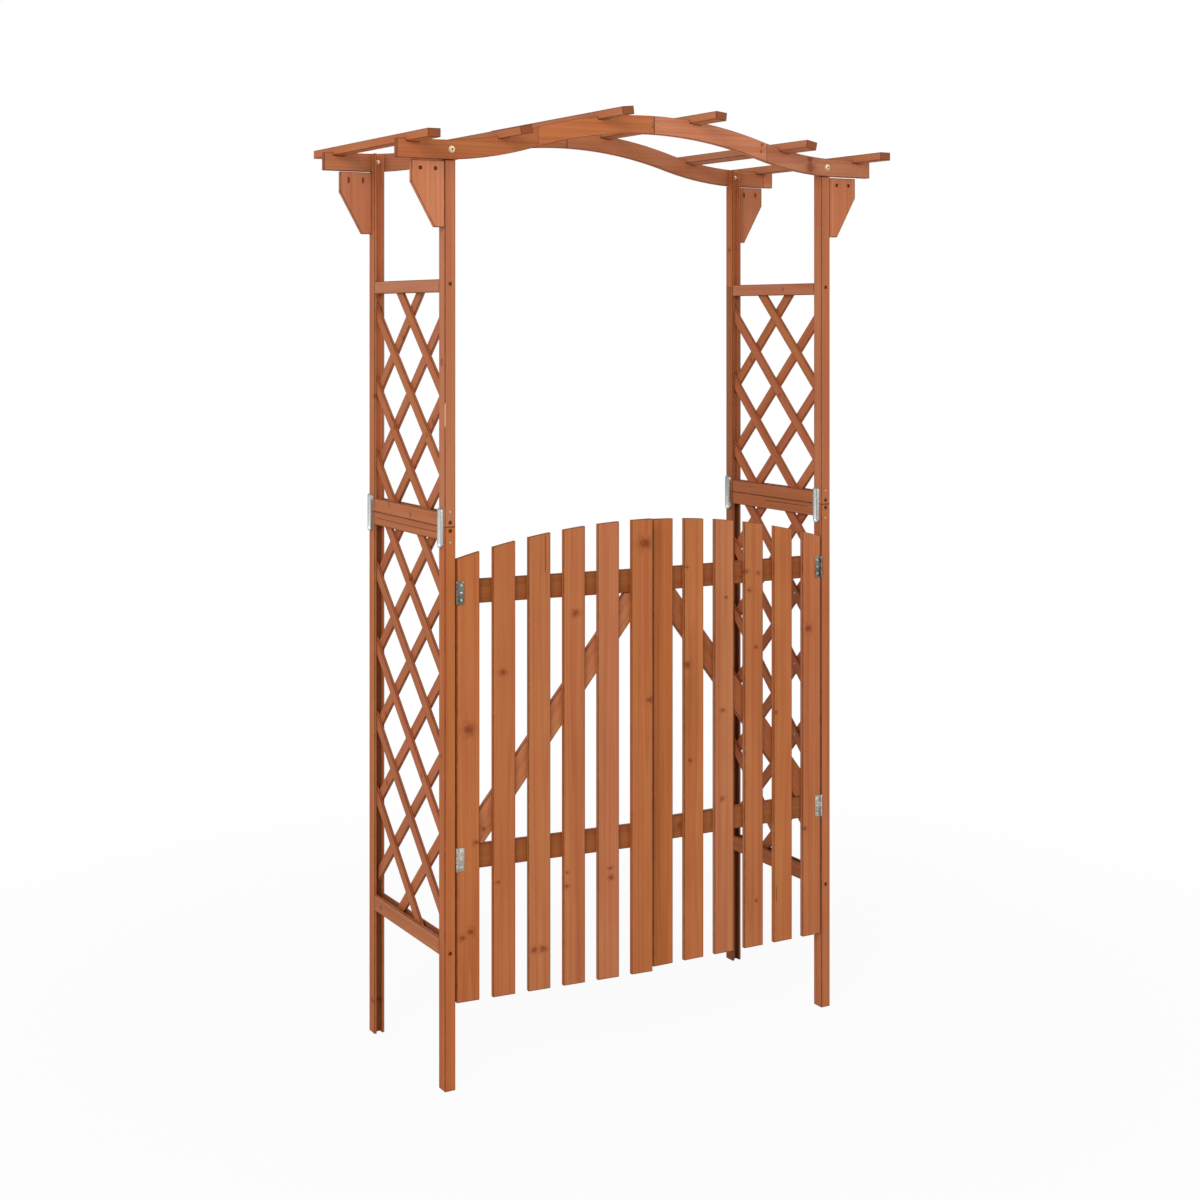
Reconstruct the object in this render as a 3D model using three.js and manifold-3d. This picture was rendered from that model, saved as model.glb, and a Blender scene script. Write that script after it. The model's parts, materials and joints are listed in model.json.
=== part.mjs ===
// Garden arch with gate, in millimetres.
// +X runs along the width, -Y is the front, +Z is up.
// The origin is on the ground, in the middle of the arch.
import * as THREE from "three";
import { mergeVertices } from "three/addons/utils/BufferGeometryUtils.js";
import Module from "manifold-3d";

const wasm = await Module();
wasm.setup();

// Fits and small gaps
const seatGap = 0.3; // between pieces that are cut to each other or ride on a leaf
const cutOverrun = 5; // how far a cutting tool runs past the face it opens

// Side panels: the grooved stock that the posts and rails are made of
const archWidth = 980; // over the posts
const archDepth = 394; // over the posts
const stockWidth = 24; // along X
const stockDepth = 29; // across the grooved face
const grooveDepth = 12;
const lowerPostLength = 1160;
const upperPostLength = 795;

// Rails between the posts of a side panel
const bottomRailHeight = 35;
const bottomRailUnderside = 275;
const topRailHeight = 27;
const topRailDrop = 285; // from the post's top to the rail's top

// Lattice of two layers of laths
const lathWidth = 25;
const lathThickness = 6;
const lathTongue = 8; // how far a lath end reaches into a groove
const latticeColumns = 4; // half diamonds across a panel
const upperLathRise = 82.4; // height of half a diamond
const lowerLathRise = 83.1;
const upperCrossingDrop = { left: 44, right: 49 }; // highest middle crossing, under the top rail
const lowerCrossingRise = 49.3; // lowest middle crossing, over the bottom rail
const shortestLath = 90;

// Serpentine beams, each in two halves that are half-lapped under the crown.
// They are housed in the posts' outer faces, with their level ends flush with the post tops.
const beamThickness = 15;
const beamHeight = 40; // square to the beam's line
const beamHousing = 8; // how deep a beam is let into its posts
const roofOverhang = 110; // of beams and rafters past the posts
const beamRise = 75; // crown over the level ends
const beamLevelRun = 86; // level stretch at each end
const beamCrownShare = 0.57; // of the curved part, in the crown arc
const beamSteps = 48; // chords along a beam
const lapLength = 20;

// Rafters, notched into the beams
const rafterWidth = 28;
const rafterHeight = 18;
const rafterNotchDepth = 6.5;
const innerRafterShare = 0.191; // of the beam's half length, from the middle
const middleRafterShare = 0.589;
const outerRafterInset = 35; // from the beam's end

// Corner brackets under the beams
const bracketThickness = 12;
const bracketSetback = 1; // behind the outer face of the post
const bracketWidth = 74;
const bracketToeWidth = 22;
const bracketHeight = 137;
const bracketCheekHeight = 45; // upright outer edge
const bracketTopGap = 2; // under the level end of the beam

// Gate leaves
const leafWidth = 451;
const leafGroundGap = 176;
const leafLift = { left: 2, right: -4 }; // how far each leaf hangs over its drawn height
const hingeSideGap = 3; // between post and leaf
const gateShoulderDrop = 68.5; // arched gate line beside a post, under the posts' joint
const gateCrownRise = 62.5; // arched gate line in the middle, over its shoulders
const slatCount = 6;
const slatWidth = 50;
const slatThickness = 10;
const slatTopSteps = 4;
const ledgeHeight = 50;
const ledgeThickness = 12;
const lowerLedgeMiddle = 295; // over the leaf's foot
const upperLedgeDrop = 70.5; // ledge's middle under the gate line's shoulder
const braceWidth = 50;
const leftLeafAjarDegrees = 4.8;

// Butt hinges
const hingeHeight = 48;
const hingePlateThickness = 1.2;
const hingePlateWidth = 14;
const knuckleRadius = 2.4;
const knuckleGap = 0.4; // between knuckles
const knucklePlateGap = 0.5; // between a knuckle and the other plate's edge
const middleKnuckleHeight = 16;
const pinRadius = 1.2;
const pinRunningGap = 0.35;
const pinHeadRadius = 2.1;
const pinHeadHeight = 0.8;
const roundSides = 20;

// Places that follow from the sizes
const postOuterX = archWidth / 2;
const postInnerX = postOuterX - stockWidth;
const postOuterY = archDepth / 2;
const postInnerY = postOuterY - stockDepth;
const panelMiddleX = postOuterX - stockWidth / 2;
const grooveWidth = 2 * (lathThickness + seatGap);
const lipWidth = (stockWidth - grooveWidth) / 2;
const postTop = lowerPostLength + upperPostLength;
const topRailUnderside = postTop - topRailDrop - topRailHeight;
const bottomRailTop = bottomRailUnderside + bottomRailHeight;
const lowerMiddleRailUnderside = lowerPostLength - stockDepth;
const upperMiddleRailTop = lowerPostLength + stockDepth;
const beamOuterY = postOuterY + beamThickness - beamHousing;
const beamHalfLength = postOuterX + roofOverhang;
const rafterHalfLength = postOuterY + roofOverhang;
const beamEndUnderside = postTop - beamHeight;
const gateShoulderHeight = lowerPostLength - leafGroundGap - gateShoulderDrop;
const gateCrownHeight = gateShoulderHeight + gateCrownRise;
const upperLedgeMiddle = gateShoulderHeight - upperLedgeDrop;
const hingeAxisX = postInnerX - knuckleRadius;
const hingeAxisY = -postOuterY - seatGap - knuckleRadius;

const timber = new THREE.MeshStandardMaterial({ color: 0xb5683e, roughness: 0.62, metalness: 0 });
const darkTimber = new THREE.MeshStandardMaterial({ color: 0x9e5a35, roughness: 0.66, metalness: 0 });
const zincSteel = new THREE.MeshStandardMaterial({ color: 0xb9bcbb, roughness: 0.38, metalness: 0.9 });

const sideOf = { left: -1, right: 1 };
const faceOf = { front: -1, rear: 1 };

// Frames that lay a flat outline (x, y) and its extrusion (z) into the model
const standing = new THREE.Matrix4().makeBasis(
  new THREE.Vector3(1, 0, 0),
  new THREE.Vector3(0, 0, 1),
  new THREE.Vector3(0, -1, 0),
);
const sideways = new THREE.Matrix4().makeBasis(
  new THREE.Vector3(0, 1, 0),
  new THREE.Vector3(0, 0, 1),
  new THREE.Vector3(1, 0, 0),
);

function outline(points) {
  return new THREE.Shape(points.map(([x, y]) => new THREE.Vector2(x, y)));
}

function extrude(shape, depth) {
  return new THREE.ExtrudeGeometry(shape, {
    depth,
    bevelEnabled: false,
    curveSegments: roundSides / 2,
  });
}

// A section drawn on the ground, from z up.
function upright(points, z, height) {
  return extrude(outline(points), height).translate(0, 0, z);
}

// An outline in X and Z, from the face nearest the front towards the rear.
function boardAcross(points, frontY, thickness) {
  return extrude(outline(points), thickness)
    .applyMatrix4(standing)
    .translate(0, frontY + thickness, 0);
}

// An outline in Y and Z, from lowX along X.
function boardAlong(points, lowX, thickness) {
  return extrude(outline(points), thickness).applyMatrix4(sideways).translate(lowX, 0, 0);
}

function rectangle(lowX, highX, lowY, highY) {
  return [
    [lowX, lowY],
    [highX, lowY],
    [highX, highY],
    [lowX, highY],
  ];
}

function block(x, y, z) {
  return new THREE.BoxGeometry(x[1] - x[0], y[1] - y[0], z[1] - z[0]).translate(
    (x[0] + x[1]) / 2,
    (y[0] + y[1]) / 2,
    (z[0] + z[1]) / 2,
  );
}

// A low and a high value in order, for a stretch that may be mirrored.
function span(a, b) {
  return a < b ? [a, b] : [b, a];
}

function toSolid(geometry) {
  const bare = geometry.clone();
  bare.deleteAttribute("normal");
  bare.deleteAttribute("uv");
  const merged = mergeVertices(bare);
  return new wasm.Manifold(
    new wasm.Mesh({
      numProp: 3,
      vertProperties: merged.attributes.position.array,
      triVerts: new Uint32Array(merged.index.array),
    }),
  );
}

function toGeometry(solid) {
  const mesh = solid.getMesh();
  const positions = new Float32Array(mesh.numVert * 3);
  for (let i = 0; i < mesh.numVert; i++)
    positions.set(mesh.vertProperties.subarray(i * mesh.numProp, i * mesh.numProp + 3), i * 3);
  const geometry = new THREE.BufferGeometry();
  geometry.setAttribute("position", new THREE.BufferAttribute(positions, 3));
  geometry.setIndex(new THREE.BufferAttribute(mesh.triVerts, 1));
  geometry.computeVertexNormals();
  return geometry;
}

function join(geometries) {
  return toGeometry(geometries.map(toSolid).reduce((whole, next) => whole.add(next)));
}

function cut(geometry, tools) {
  return toGeometry(tools.map(toSolid).reduce((rest, tool) => rest.subtract(tool), toSolid(geometry)));
}

function piece(parent, name, geometry, material) {
  const mesh = new THREE.Mesh(geometry, material);
  mesh.name = name;
  parent.add(mesh);
  return mesh;
}

// The grooved section of a post: the groove looks at the other post of its panel.
function postSection(side, face) {
  const x = (inset) => side * (postOuterX - inset);
  const y = (inset) => face * (postOuterY - inset);
  const grooveFloor = stockDepth - grooveDepth;
  return [
    [x(0), y(0)],
    [x(stockWidth), y(0)],
    [x(stockWidth), y(stockDepth)],
    [x(stockWidth - lipWidth), y(stockDepth)],
    [x(stockWidth - lipWidth), y(grooveFloor)],
    [x(lipWidth), y(grooveFloor)],
    [x(lipWidth), y(stockDepth)],
    [x(0), y(stockDepth)],
  ];
}

// A rail's section in X and Z. The groove opens upwards (1) or downwards (-1).
function railSection(side, underside, height, opening) {
  const x = (inset) => side * (postOuterX - inset);
  const z = (depth) => (opening > 0 ? underside + height - depth : underside + depth);
  return [
    [x(0), z(height)],
    [x(0), z(0)],
    [x(lipWidth), z(0)],
    [x(lipWidth), z(grooveDepth)],
    [x(stockWidth - lipWidth), z(grooveDepth)],
    [x(stockWidth - lipWidth), z(0)],
    [x(stockWidth), z(0)],
    [x(stockWidth), z(height)],
  ];
}

// One strip of a lattice layer, in Y and Z, through the middle line at middleZ.
function lathStrip(middleZ, lean, rise) {
  const run = (2 * postInnerY) / latticeColumns;
  const reach = postInnerY + lathTongue + lathWidth;
  const halfUpright = (lathWidth / 2) * Math.hypot(1, rise / run);
  const z = (y) => middleZ + (lean * y * rise) / run;
  return [
    [-reach, z(-reach) - halfUpright],
    [reach, z(reach) - halfUpright],
    [reach, z(reach) + halfUpright],
    [-reach, z(-reach) + halfUpright],
  ];
}

// How long a lath's middle line is inside the panel's opening.
function lathLength(middleZ, lean, rise, low, high) {
  const run = (2 * postInnerY) / latticeColumns;
  const slope = (lean * rise) / run;
  const [a, b] = span((low - middleZ) / slope, (high - middleZ) / slope);
  const inside = Math.min(b, postInnerY) - Math.max(a, -postInnerY);
  return inside * Math.hypot(1, slope);
}

// A lattice between two rails. Its laths are crossed, and joined where they cross.
function lattice(side, low, high, crossingZ, rise) {
  const rows = Math.ceil((high - low) / (2 * rise)) + 1;
  const middleX = side * panelMiddleX;
  const laths = [];
  for (const lean of [1, -1]) {
    const lowX = lean > 0 ? middleX - lathThickness : middleX;
    for (let row = -rows; row <= rows; row++) {
      const middleZ = crossingZ + 2 * row * rise;
      if (lathLength(middleZ, lean, rise, low, high) < shortestLath) continue;
      laths.push(boardAlong(lathStrip(middleZ, lean, rise), lowX, lathThickness));
    }
  }
  const whole = laths.map(toSolid).reduce((sum, lath) => sum.add(lath));
  const frame = block(
    [middleX - stockWidth, middleX + stockWidth],
    [-postInnerY - lathTongue, postInnerY + lathTongue],
    [low - lathTongue, high + lathTongue],
  );
  return toGeometry(whole.intersect(toSolid(frame)));
}

function addSidePanel(parent, sideName) {
  const side = sideOf[sideName];
  for (const faceName of ["front", "rear"]) {
    const section = postSection(side, faceOf[faceName]);
    const name = faceName + "_" + sideName;
    piece(parent, name + "_lower_post", upright(section, 0, lowerPostLength), timber);
    const upperPost = cut(upright(section, lowerPostLength, upperPostLength), [
      block(
        [-beamHalfLength, beamHalfLength],
        span(
          faceOf[faceName] * (postOuterY - beamHousing - seatGap),
          faceOf[faceName] * (postOuterY + cutOverrun),
        ),
        [beamEndUnderside - seatGap, postTop + cutOverrun],
      ),
    ]);
    piece(parent, name + "_upper_post", upperPost, timber);
  }
  const rails = [
    ["bottom_rail", bottomRailUnderside, bottomRailHeight, 1],
    ["lower_middle_rail", lowerMiddleRailUnderside, stockDepth, -1],
    ["upper_middle_rail", lowerPostLength, stockDepth, 1],
    ["top_rail", topRailUnderside, topRailHeight, -1],
  ];
  for (const [name, underside, height, opening] of rails) {
    const section = railSection(side, underside, height, opening);
    piece(parent, sideName + "_" + name, boardAcross(section, -postInnerY, 2 * postInnerY), timber);
  }
  piece(
    parent,
    sideName + "_lower_lattice",
    lattice(
      side,
      bottomRailTop,
      lowerMiddleRailUnderside,
      bottomRailTop + lowerCrossingRise,
      lowerLathRise,
    ),
    darkTimber,
  );
  piece(
    parent,
    sideName + "_upper_lattice",
    lattice(
      side,
      upperMiddleRailTop,
      topRailUnderside,
      topRailUnderside - upperCrossingDrop[sideName],
      upperLathRise,
    ),
    darkTimber,
  );
}

// The beam's middle line is a crown arc that turns over, without a kink, into a hollow arc.
const beamCurveReach = beamHalfLength - beamLevelRun;
const turnAngle = 2 * Math.atan(beamRise / beamCurveReach);
const crownReach = beamCrownShare * beamCurveReach;
const crownRadius = crownReach / Math.sin(turnAngle);
const hollowRadius = (beamCurveReach - crownReach) / Math.sin(turnAngle);
const crownMiddleZ = beamEndUnderside + beamHeight / 2 + beamRise;

// How far the middle line lies under its crown at x.
function beamDrop(x) {
  const away = Math.abs(x);
  if (away <= crownReach) return crownRadius - Math.sqrt(crownRadius ** 2 - away ** 2);
  const rest = Math.max(beamCurveReach - away, 0);
  return beamRise - (hollowRadius - Math.sqrt(hollowRadius ** 2 - rest ** 2));
}

// The middle line's angle from level at x, positive where it climbs towards +X.
function beamTilt(x) {
  const away = Math.abs(x);
  const rest = Math.max(beamCurveReach - away, 0);
  const steepness =
    away <= crownReach ? Math.asin(away / crownRadius) : Math.asin(rest / hollowRadius);
  return -Math.sign(x) * steepness;
}

// A point at a distance over the middle line, square to it.
function beamPoint(x, over) {
  const tilt = beamTilt(x);
  return [x - over * Math.sin(tilt), crownMiddleZ - beamDrop(x) + over * Math.cos(tilt)];
}

function beamOutline() {
  const underside = [];
  const top = [];
  for (let i = 0; i <= beamSteps; i++) {
    const x = beamHalfLength * ((2 * i) / beamSteps - 1);
    underside.push(beamPoint(x, -beamHeight / 2));
    top.unshift(beamPoint(x, beamHeight / 2));
  }
  return [...underside, ...top];
}

const rafterPlaces = [
  -(beamHalfLength - outerRafterInset),
  -middleRafterShare * beamHalfLength,
  -innerRafterShare * beamHalfLength,
  innerRafterShare * beamHalfLength,
  middleRafterShare * beamHalfLength,
  beamHalfLength - outerRafterInset,
];

// A rafter in its notch, square to the beam's line there. Room is added round it for a notch.
function rafterBlock(place, room, above) {
  const [x, z] = beamPoint(place, beamHeight / 2);
  const underside = seatGap - rafterNotchDepth;
  return block(
    [-rafterWidth / 2 - room, rafterWidth / 2 + room],
    [-rafterHalfLength, rafterHalfLength],
    [underside - room, underside + rafterHeight + above],
  )
    .rotateY(-beamTilt(place))
    .translate(x, 0, z);
}

// The front beam is split in the middle of its thickness over the lap.
function beamHalf(isLeft) {
  const side = isLeft ? -1 : 1;
  const lapMiddleY = -beamOuterY + beamThickness / 2;
  const height = [beamEndUnderside - cutOverrun, crownMiddleZ + beamHeight];
  const beyond = side * (beamHalfLength + cutOverrun);
  const otherHalf = block(span((-side * (lapLength - seatGap)) / 2, -beyond), [
    -beamOuterY - cutOverrun,
    -beamOuterY + beamThickness + cutOverrun,
  ], height);
  const otherTongue = block(
    span((side * (lapLength + seatGap)) / 2, -beyond),
    isLeft
      ? [lapMiddleY - seatGap / 2, -beamOuterY + beamThickness + cutOverrun]
      : [-beamOuterY - cutOverrun, lapMiddleY + seatGap / 2],
    height,
  );
  const notches = rafterPlaces.map((place) => rafterBlock(place, seatGap, rafterHeight));
  const board = boardAcross(beamOutline(), -beamOuterY, beamThickness);
  return cut(board, [otherHalf, otherTongue, ...notches]);
}

// The corner bracket's outline, beside its post and under the beam's level end.
function bracketOutline(side) {
  const x = (out) => side * (postOuterX + out);
  const top = beamEndUnderside - bracketTopGap;
  return [
    [x(0), top],
    [x(bracketWidth), top],
    [x(bracketWidth), top - bracketCheekHeight],
    [x(bracketToeWidth), top - bracketHeight],
    [x(0), top - bracketHeight],
  ];
}

function addRoof(parent) {
  for (const faceName of ["front", "rear"]) {
    for (const sideName of ["left", "right"]) {
      const isRear = faceName === "rear";
      const half = beamHalf((sideName === "left") !== isRear);
      if (isRear) half.rotateZ(Math.PI);
      piece(parent, faceName + "_beam_" + sideName + "_half", half, timber);

      const outer = faceOf[faceName] * (postOuterY - bracketSetback);
      const inner = faceOf[faceName] * (postOuterY - bracketSetback - bracketThickness);
      const bracket = boardAcross(
        bracketOutline(sideOf[sideName]),
        Math.min(outer, inner),
        bracketThickness,
      );
      piece(parent, faceName + "_" + sideName + "_bracket", bracket, timber);
    }
  }
  rafterPlaces.forEach((place, index) => {
    piece(parent, "rafter_" + (index + 1), rafterBlock(place, 0, 0), timber);
  });
}

function cylinderAtAxis(radius, low, high) {
  return new THREE.CylinderGeometry(radius, radius, high - low, roundSides)
    .rotateX(Math.PI / 2)
    .translate(0, 0, (low + high) / 2);
}

const hingeMiddles = { lower: lowerLedgeMiddle, upper: upperLedgeMiddle };
const knuckleSplit = middleKnuckleHeight / 2;

// The plate on the post with its two end knuckles and the pin that is riveted in them.
// It is drawn round the hinge axis, with z from the hinge's middle.
function postHingeLeaf(side) {
  const half = hingeHeight / 2;
  const face = side * knuckleRadius;
  const across = span(face, face - side * hingePlateThickness);
  const plateEnd = knuckleRadius + seatGap + hingePlateWidth;
  const solids = [
    block(across, [knuckleRadius + knucklePlateGap, plateEnd], [-half, half]),
    cylinderAtAxis(pinRadius, -half - pinHeadHeight, half + pinHeadHeight),
  ];
  for (const [low, high] of [
    [-half, -knuckleSplit - knuckleGap],
    [knuckleSplit + knuckleGap, half],
  ]) {
    solids.push(cylinderAtAxis(knuckleRadius, low, high));
    solids.push(block(across, [0, knuckleRadius + 2 * knucklePlateGap], [low, high]));
  }
  solids.push(cylinderAtAxis(pinHeadRadius, half, half + pinHeadHeight));
  return join(solids);
}

// The plate on the slat with the middle knuckle, which turns on the pin.
function gateHingeLeaf(side) {
  const half = hingeHeight / 2;
  const back = knuckleRadius;
  const through = [back - hingePlateThickness, back];
  const inner = knuckleRadius + knucklePlateGap;
  const plateEnd = knuckleRadius + hingePlateWidth;
  const solid = join([
    block(span(-side * inner, -side * plateEnd), through, [-half, half]),
    block(span(0, -side * (inner + knucklePlateGap)), through, [-knuckleSplit, knuckleSplit]),
    cylinderAtAxis(knuckleRadius, -knuckleSplit, knuckleSplit),
  ]);
  return cut(solid, [cylinderAtAxis(pinRadius + pinRunningGap, -hingeHeight, hingeHeight)]);
}

// The arched line that the slats are cut to, over the leaf's foot.
const gateHalfSpan = postInnerX - hingeSideGap;
const gateArcRadius = (gateHalfSpan ** 2 + gateCrownRise ** 2) / (2 * gateCrownRise);
function gateLine(x) {
  return gateCrownHeight - (gateArcRadius - Math.sqrt(gateArcRadius ** 2 - x ** 2));
}

function slatOutline(nearX, farX) {
  const top = [];
  for (let i = 0; i <= slatTopSteps; i++) {
    const x = farX + ((nearX - farX) * i) / slatTopSteps;
    top.push([x, leafGroundGap + gateLine(x)]);
  }
  return [[nearX, leafGroundGap], [farX, leafGroundGap], ...top];
}

// A brace cut level at both ends, corner to corner between the ledges.
function braceOutline(side, hingeEdge, freeEdge) {
  const low = leafGroundGap + lowerLedgeMiddle + ledgeHeight / 2 + seatGap;
  const high = leafGroundGap + upperLedgeMiddle - ledgeHeight / 2 - seatGap;
  const rise = high - low;
  const run = Math.abs(freeEdge - hingeEdge);
  const squareRise = rise ** 2 - braceWidth ** 2;
  const root = Math.sqrt(braceWidth ** 2 * run ** 2 + squareRise * (run ** 2 + rise ** 2));
  const levelCut = (braceWidth * (root - braceWidth * run)) / squareRise;
  return [
    [hingeEdge, low],
    [hingeEdge - side * levelCut, low],
    [freeEdge, high],
    [freeEdge + side * levelCut, high],
  ];
}

// A gate leaf hangs in a group on its hinge axis, so that its turn is the group's.
function addGateLeaf(parent, sideName, ajarDegrees) {
  const side = sideOf[sideName];
  const leaf = new THREE.Group();
  const lift = leafLift[sideName];
  leaf.position.set(side * hingeAxisX, hingeAxisY, lift);
  leaf.rotation.z = side * THREE.MathUtils.degToRad(ajarDegrees);
  parent.add(leaf);

  const add = (name, geometry, material) => {
    geometry.translate(-side * hingeAxisX, -hingeAxisY, 0);
    piece(leaf, sideName + "_" + name, geometry, material);
  };
  const hingeEdge = side * gateHalfSpan;
  const freeEdge = side * (gateHalfSpan - leafWidth);
  const pitch = (leafWidth - slatWidth) / (slatCount - 1);
  for (let i = 0; i < slatCount; i++) {
    const nearX = hingeEdge - side * i * pitch;
    const farX = nearX - side * slatWidth;
    add("slat_" + (i + 1), boardAcross(slatOutline(nearX, farX), -postOuterY, slatThickness), timber);
  }
  const ledgeFront = -postOuterY + slatThickness + seatGap;
  const across = span(hingeEdge, freeEdge);
  for (const [name, middle] of Object.entries(hingeMiddles)) {
    const low = leafGroundGap + middle - ledgeHeight / 2;
    const board = rectangle(across[0], across[1], low, low + ledgeHeight);
    add(name + "_ledge", boardAcross(board, ledgeFront, ledgeThickness), darkTimber);
  }
  const brace = boardAcross(braceOutline(side, hingeEdge, freeEdge), ledgeFront, ledgeThickness);
  add("brace", brace, darkTimber);

  for (const [name, middle] of Object.entries(hingeMiddles)) {
    const z = leafGroundGap + middle;
    const plate = gateHingeLeaf(side).translate(0, 0, z);
    piece(leaf, sideName + "_" + name + "_hinge_gate_leaf", plate, zincSteel);
    const fixed = postHingeLeaf(side).translate(side * hingeAxisX, hingeAxisY, z + lift);
    piece(parent, sideName + "_" + name + "_hinge_post_leaf", fixed, zincSteel);
  }
}

const arch = new THREE.Group();
for (const sideName of ["left", "right"]) addSidePanel(arch, sideName);
addRoof(arch);
addGateLeaf(arch, "left", leftLeafAjarDegrees);
addGateLeaf(arch, "right", 0);

export default arch;
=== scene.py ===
"""Looks of the garden arch with gate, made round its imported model.

Each board is a merged copy of its solid with drilled holes and eased edges, and it stands in
for that solid. The laths, mending plates, bolts, screws and nails are modelled here. Sizes are
in metres, +X runs along the arch's width, -Y is the front and +Z is up.
"""

from __future__ import annotations

import json
import logging
import math
import random
from dataclasses import dataclass, field
from enum import Enum
from typing import Callable, Iterable, Sequence

import bpy
from mathutils import Matrix, Vector

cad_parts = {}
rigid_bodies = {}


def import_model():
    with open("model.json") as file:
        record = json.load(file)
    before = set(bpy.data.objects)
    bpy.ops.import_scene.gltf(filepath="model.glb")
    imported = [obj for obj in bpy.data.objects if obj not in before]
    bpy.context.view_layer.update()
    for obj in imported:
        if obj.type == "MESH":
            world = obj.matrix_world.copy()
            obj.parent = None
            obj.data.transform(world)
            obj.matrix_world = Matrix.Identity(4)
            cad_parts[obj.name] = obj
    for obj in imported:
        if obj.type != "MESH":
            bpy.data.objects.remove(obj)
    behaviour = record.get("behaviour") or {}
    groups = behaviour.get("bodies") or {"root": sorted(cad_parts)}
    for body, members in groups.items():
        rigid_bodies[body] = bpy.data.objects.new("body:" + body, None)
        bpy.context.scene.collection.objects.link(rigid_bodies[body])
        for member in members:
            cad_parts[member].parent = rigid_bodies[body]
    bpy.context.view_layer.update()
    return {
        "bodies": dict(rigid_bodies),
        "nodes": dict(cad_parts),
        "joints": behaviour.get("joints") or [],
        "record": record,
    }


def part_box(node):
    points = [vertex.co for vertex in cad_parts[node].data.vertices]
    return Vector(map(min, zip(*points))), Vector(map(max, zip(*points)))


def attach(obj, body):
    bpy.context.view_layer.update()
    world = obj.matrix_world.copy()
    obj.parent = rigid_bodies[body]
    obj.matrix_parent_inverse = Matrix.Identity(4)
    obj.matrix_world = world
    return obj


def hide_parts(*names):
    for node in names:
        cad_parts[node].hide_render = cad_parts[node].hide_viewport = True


LOG = logging.getLogger("garden_arch")
MM = 0.001
FAR_AWAY = 1000.0
KNOTS_PER_BOARD = 5
SAME_PLACE = 1e-5

Point = tuple[float, float, float]
Shade = tuple[float, float, float]
Seat = tuple[Sequence[float], Matrix]


class Named(Enum):
    """A choice that is part of the names of the pieces."""

    @property
    def word(self) -> str:
        """The choice as it is written in the names of the pieces."""
        return self.name.lower()


class Side(Named):
    """A side of the arch, as the sign of X."""

    LEFT = -1
    RIGHT = 1

    @property
    def inward(self) -> Way:
        """The way to the middle of the arch."""
        return Way.RIGHT if self is Side.LEFT else Way.LEFT


class Face(Named):
    """The front or the rear of the arch, as the sign of Y."""

    FRONT = -1
    REAR = 1

    @property
    def way(self) -> Way:
        """The way that this face looks."""
        return Way[self.name]


class Level(Named):
    """The lower or the upper part of a panel or a leaf, as the sign of Z."""

    LOWER = -1
    UPPER = 1


class Slot(Enum):
    """The record's material slots."""

    FRAME = "frame_timber"
    LATH = "lath_timber"
    ROOF = "roof_timber"
    GATE = "gate_timber"
    STEEL = "hinge_steel"


class Way(Enum):
    """The way a fastener's head looks."""

    LEFT = (-1, 0, 0)
    RIGHT = (1, 0, 0)
    FRONT = (0, -1, 0)
    REAR = (0, 1, 0)

    def turn(self) -> Matrix:
        """The turn that takes +Z to this way."""
        return Vector(self.value).to_track_quat("Z", "Y").to_matrix().to_4x4()


# ---- Working at the bench ---------------------------------------------------------------


def pick_only(piece: bpy.types.Object) -> None:
    """Select one piece and make it the active one.

    Args:
        piece: The piece to work on.
    """
    bpy.ops.object.select_all(action="DESELECT")
    piece.select_set(True)
    bpy.context.view_layer.objects.active = piece


def edit(piece: bpy.types.Object, work: Callable[[], object], kind: str = "",
         chosen: Callable[[object], bool] | None = None) -> None:
    """Do some work in edit mode, on a whole piece or on chosen parts of its mesh.

    Args:
        piece: The piece to work on.
        work: The operators to call.
        kind: What to choose from: vertices, edges or polygons.
        chosen: Says of a part whether it is worked on. Without it the whole mesh is.
    """
    pick_only(piece)
    bpy.ops.object.mode_set(mode="EDIT")
    bpy.ops.mesh.select_all(action="DESELECT" if chosen else "SELECT")
    if chosen:
        bpy.ops.object.mode_set(mode="OBJECT")
        for part in getattr(piece.data, kind):
            part.select = chosen(part)
        bpy.ops.object.mode_set(mode="EDIT")
    work()
    bpy.ops.object.mode_set(mode="OBJECT")


def finish_with(piece: bpy.types.Object, kind: str, **settings: object) -> None:
    """Add one modifier to a piece and apply it.

    Args:
        piece: The piece to finish.
        kind: The modifier's type.
        **settings: The modifier's own settings.
    """
    pick_only(piece)
    modifier = piece.modifiers.new(kind.title(), kind)
    for name, value in settings.items():
        setattr(modifier, name, value)
    bpy.ops.object.modifier_apply(modifier=modifier.name)


def settle(piece: bpy.types.Object, name: str) -> bpy.types.Object:
    """Name a new piece and put its place into its mesh.

    Args:
        piece: The piece as it was added.
        name: Its name.

    Returns:
        The same piece.
    """
    piece.name = piece.data.name = name
    pick_only(piece)
    bpy.ops.object.transform_apply(location=True, rotation=True, scale=True)
    return piece


def add_block(name: str, middle: Sequence[float], size: Sequence[float]) -> bpy.types.Object:
    """Add a block at its place and size, with its object at the origin.

    Args:
        name: The name of the piece.
        middle: The block's middle.
        size: The block's size along X, Y and Z.

    Returns:
        The new piece.
    """
    bpy.ops.object.select_all(action="DESELECT")
    bpy.ops.mesh.primitive_cube_add(size=1, location=middle, scale=size)
    return settle(bpy.context.object, name)


def add_rod(name: str, radius: float, low: float, high: float, sides: int) -> bpy.types.Object:
    """Add an upright rod on the Z axis, with its object at the origin.

    Args:
        name: The name of the piece.
        radius: The rod's radius.
        low: The height of its lower end.
        high: The height of its upper end.
        sides: How many flats the rod has.

    Returns:
        The new piece.
    """
    bpy.ops.object.select_all(action="DESELECT")
    bpy.ops.mesh.primitive_cylinder_add(
        vertices=sides, radius=radius, depth=high - low, location=(0, 0, (low + high) / 2))
    return settle(bpy.context.object, name)


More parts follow.
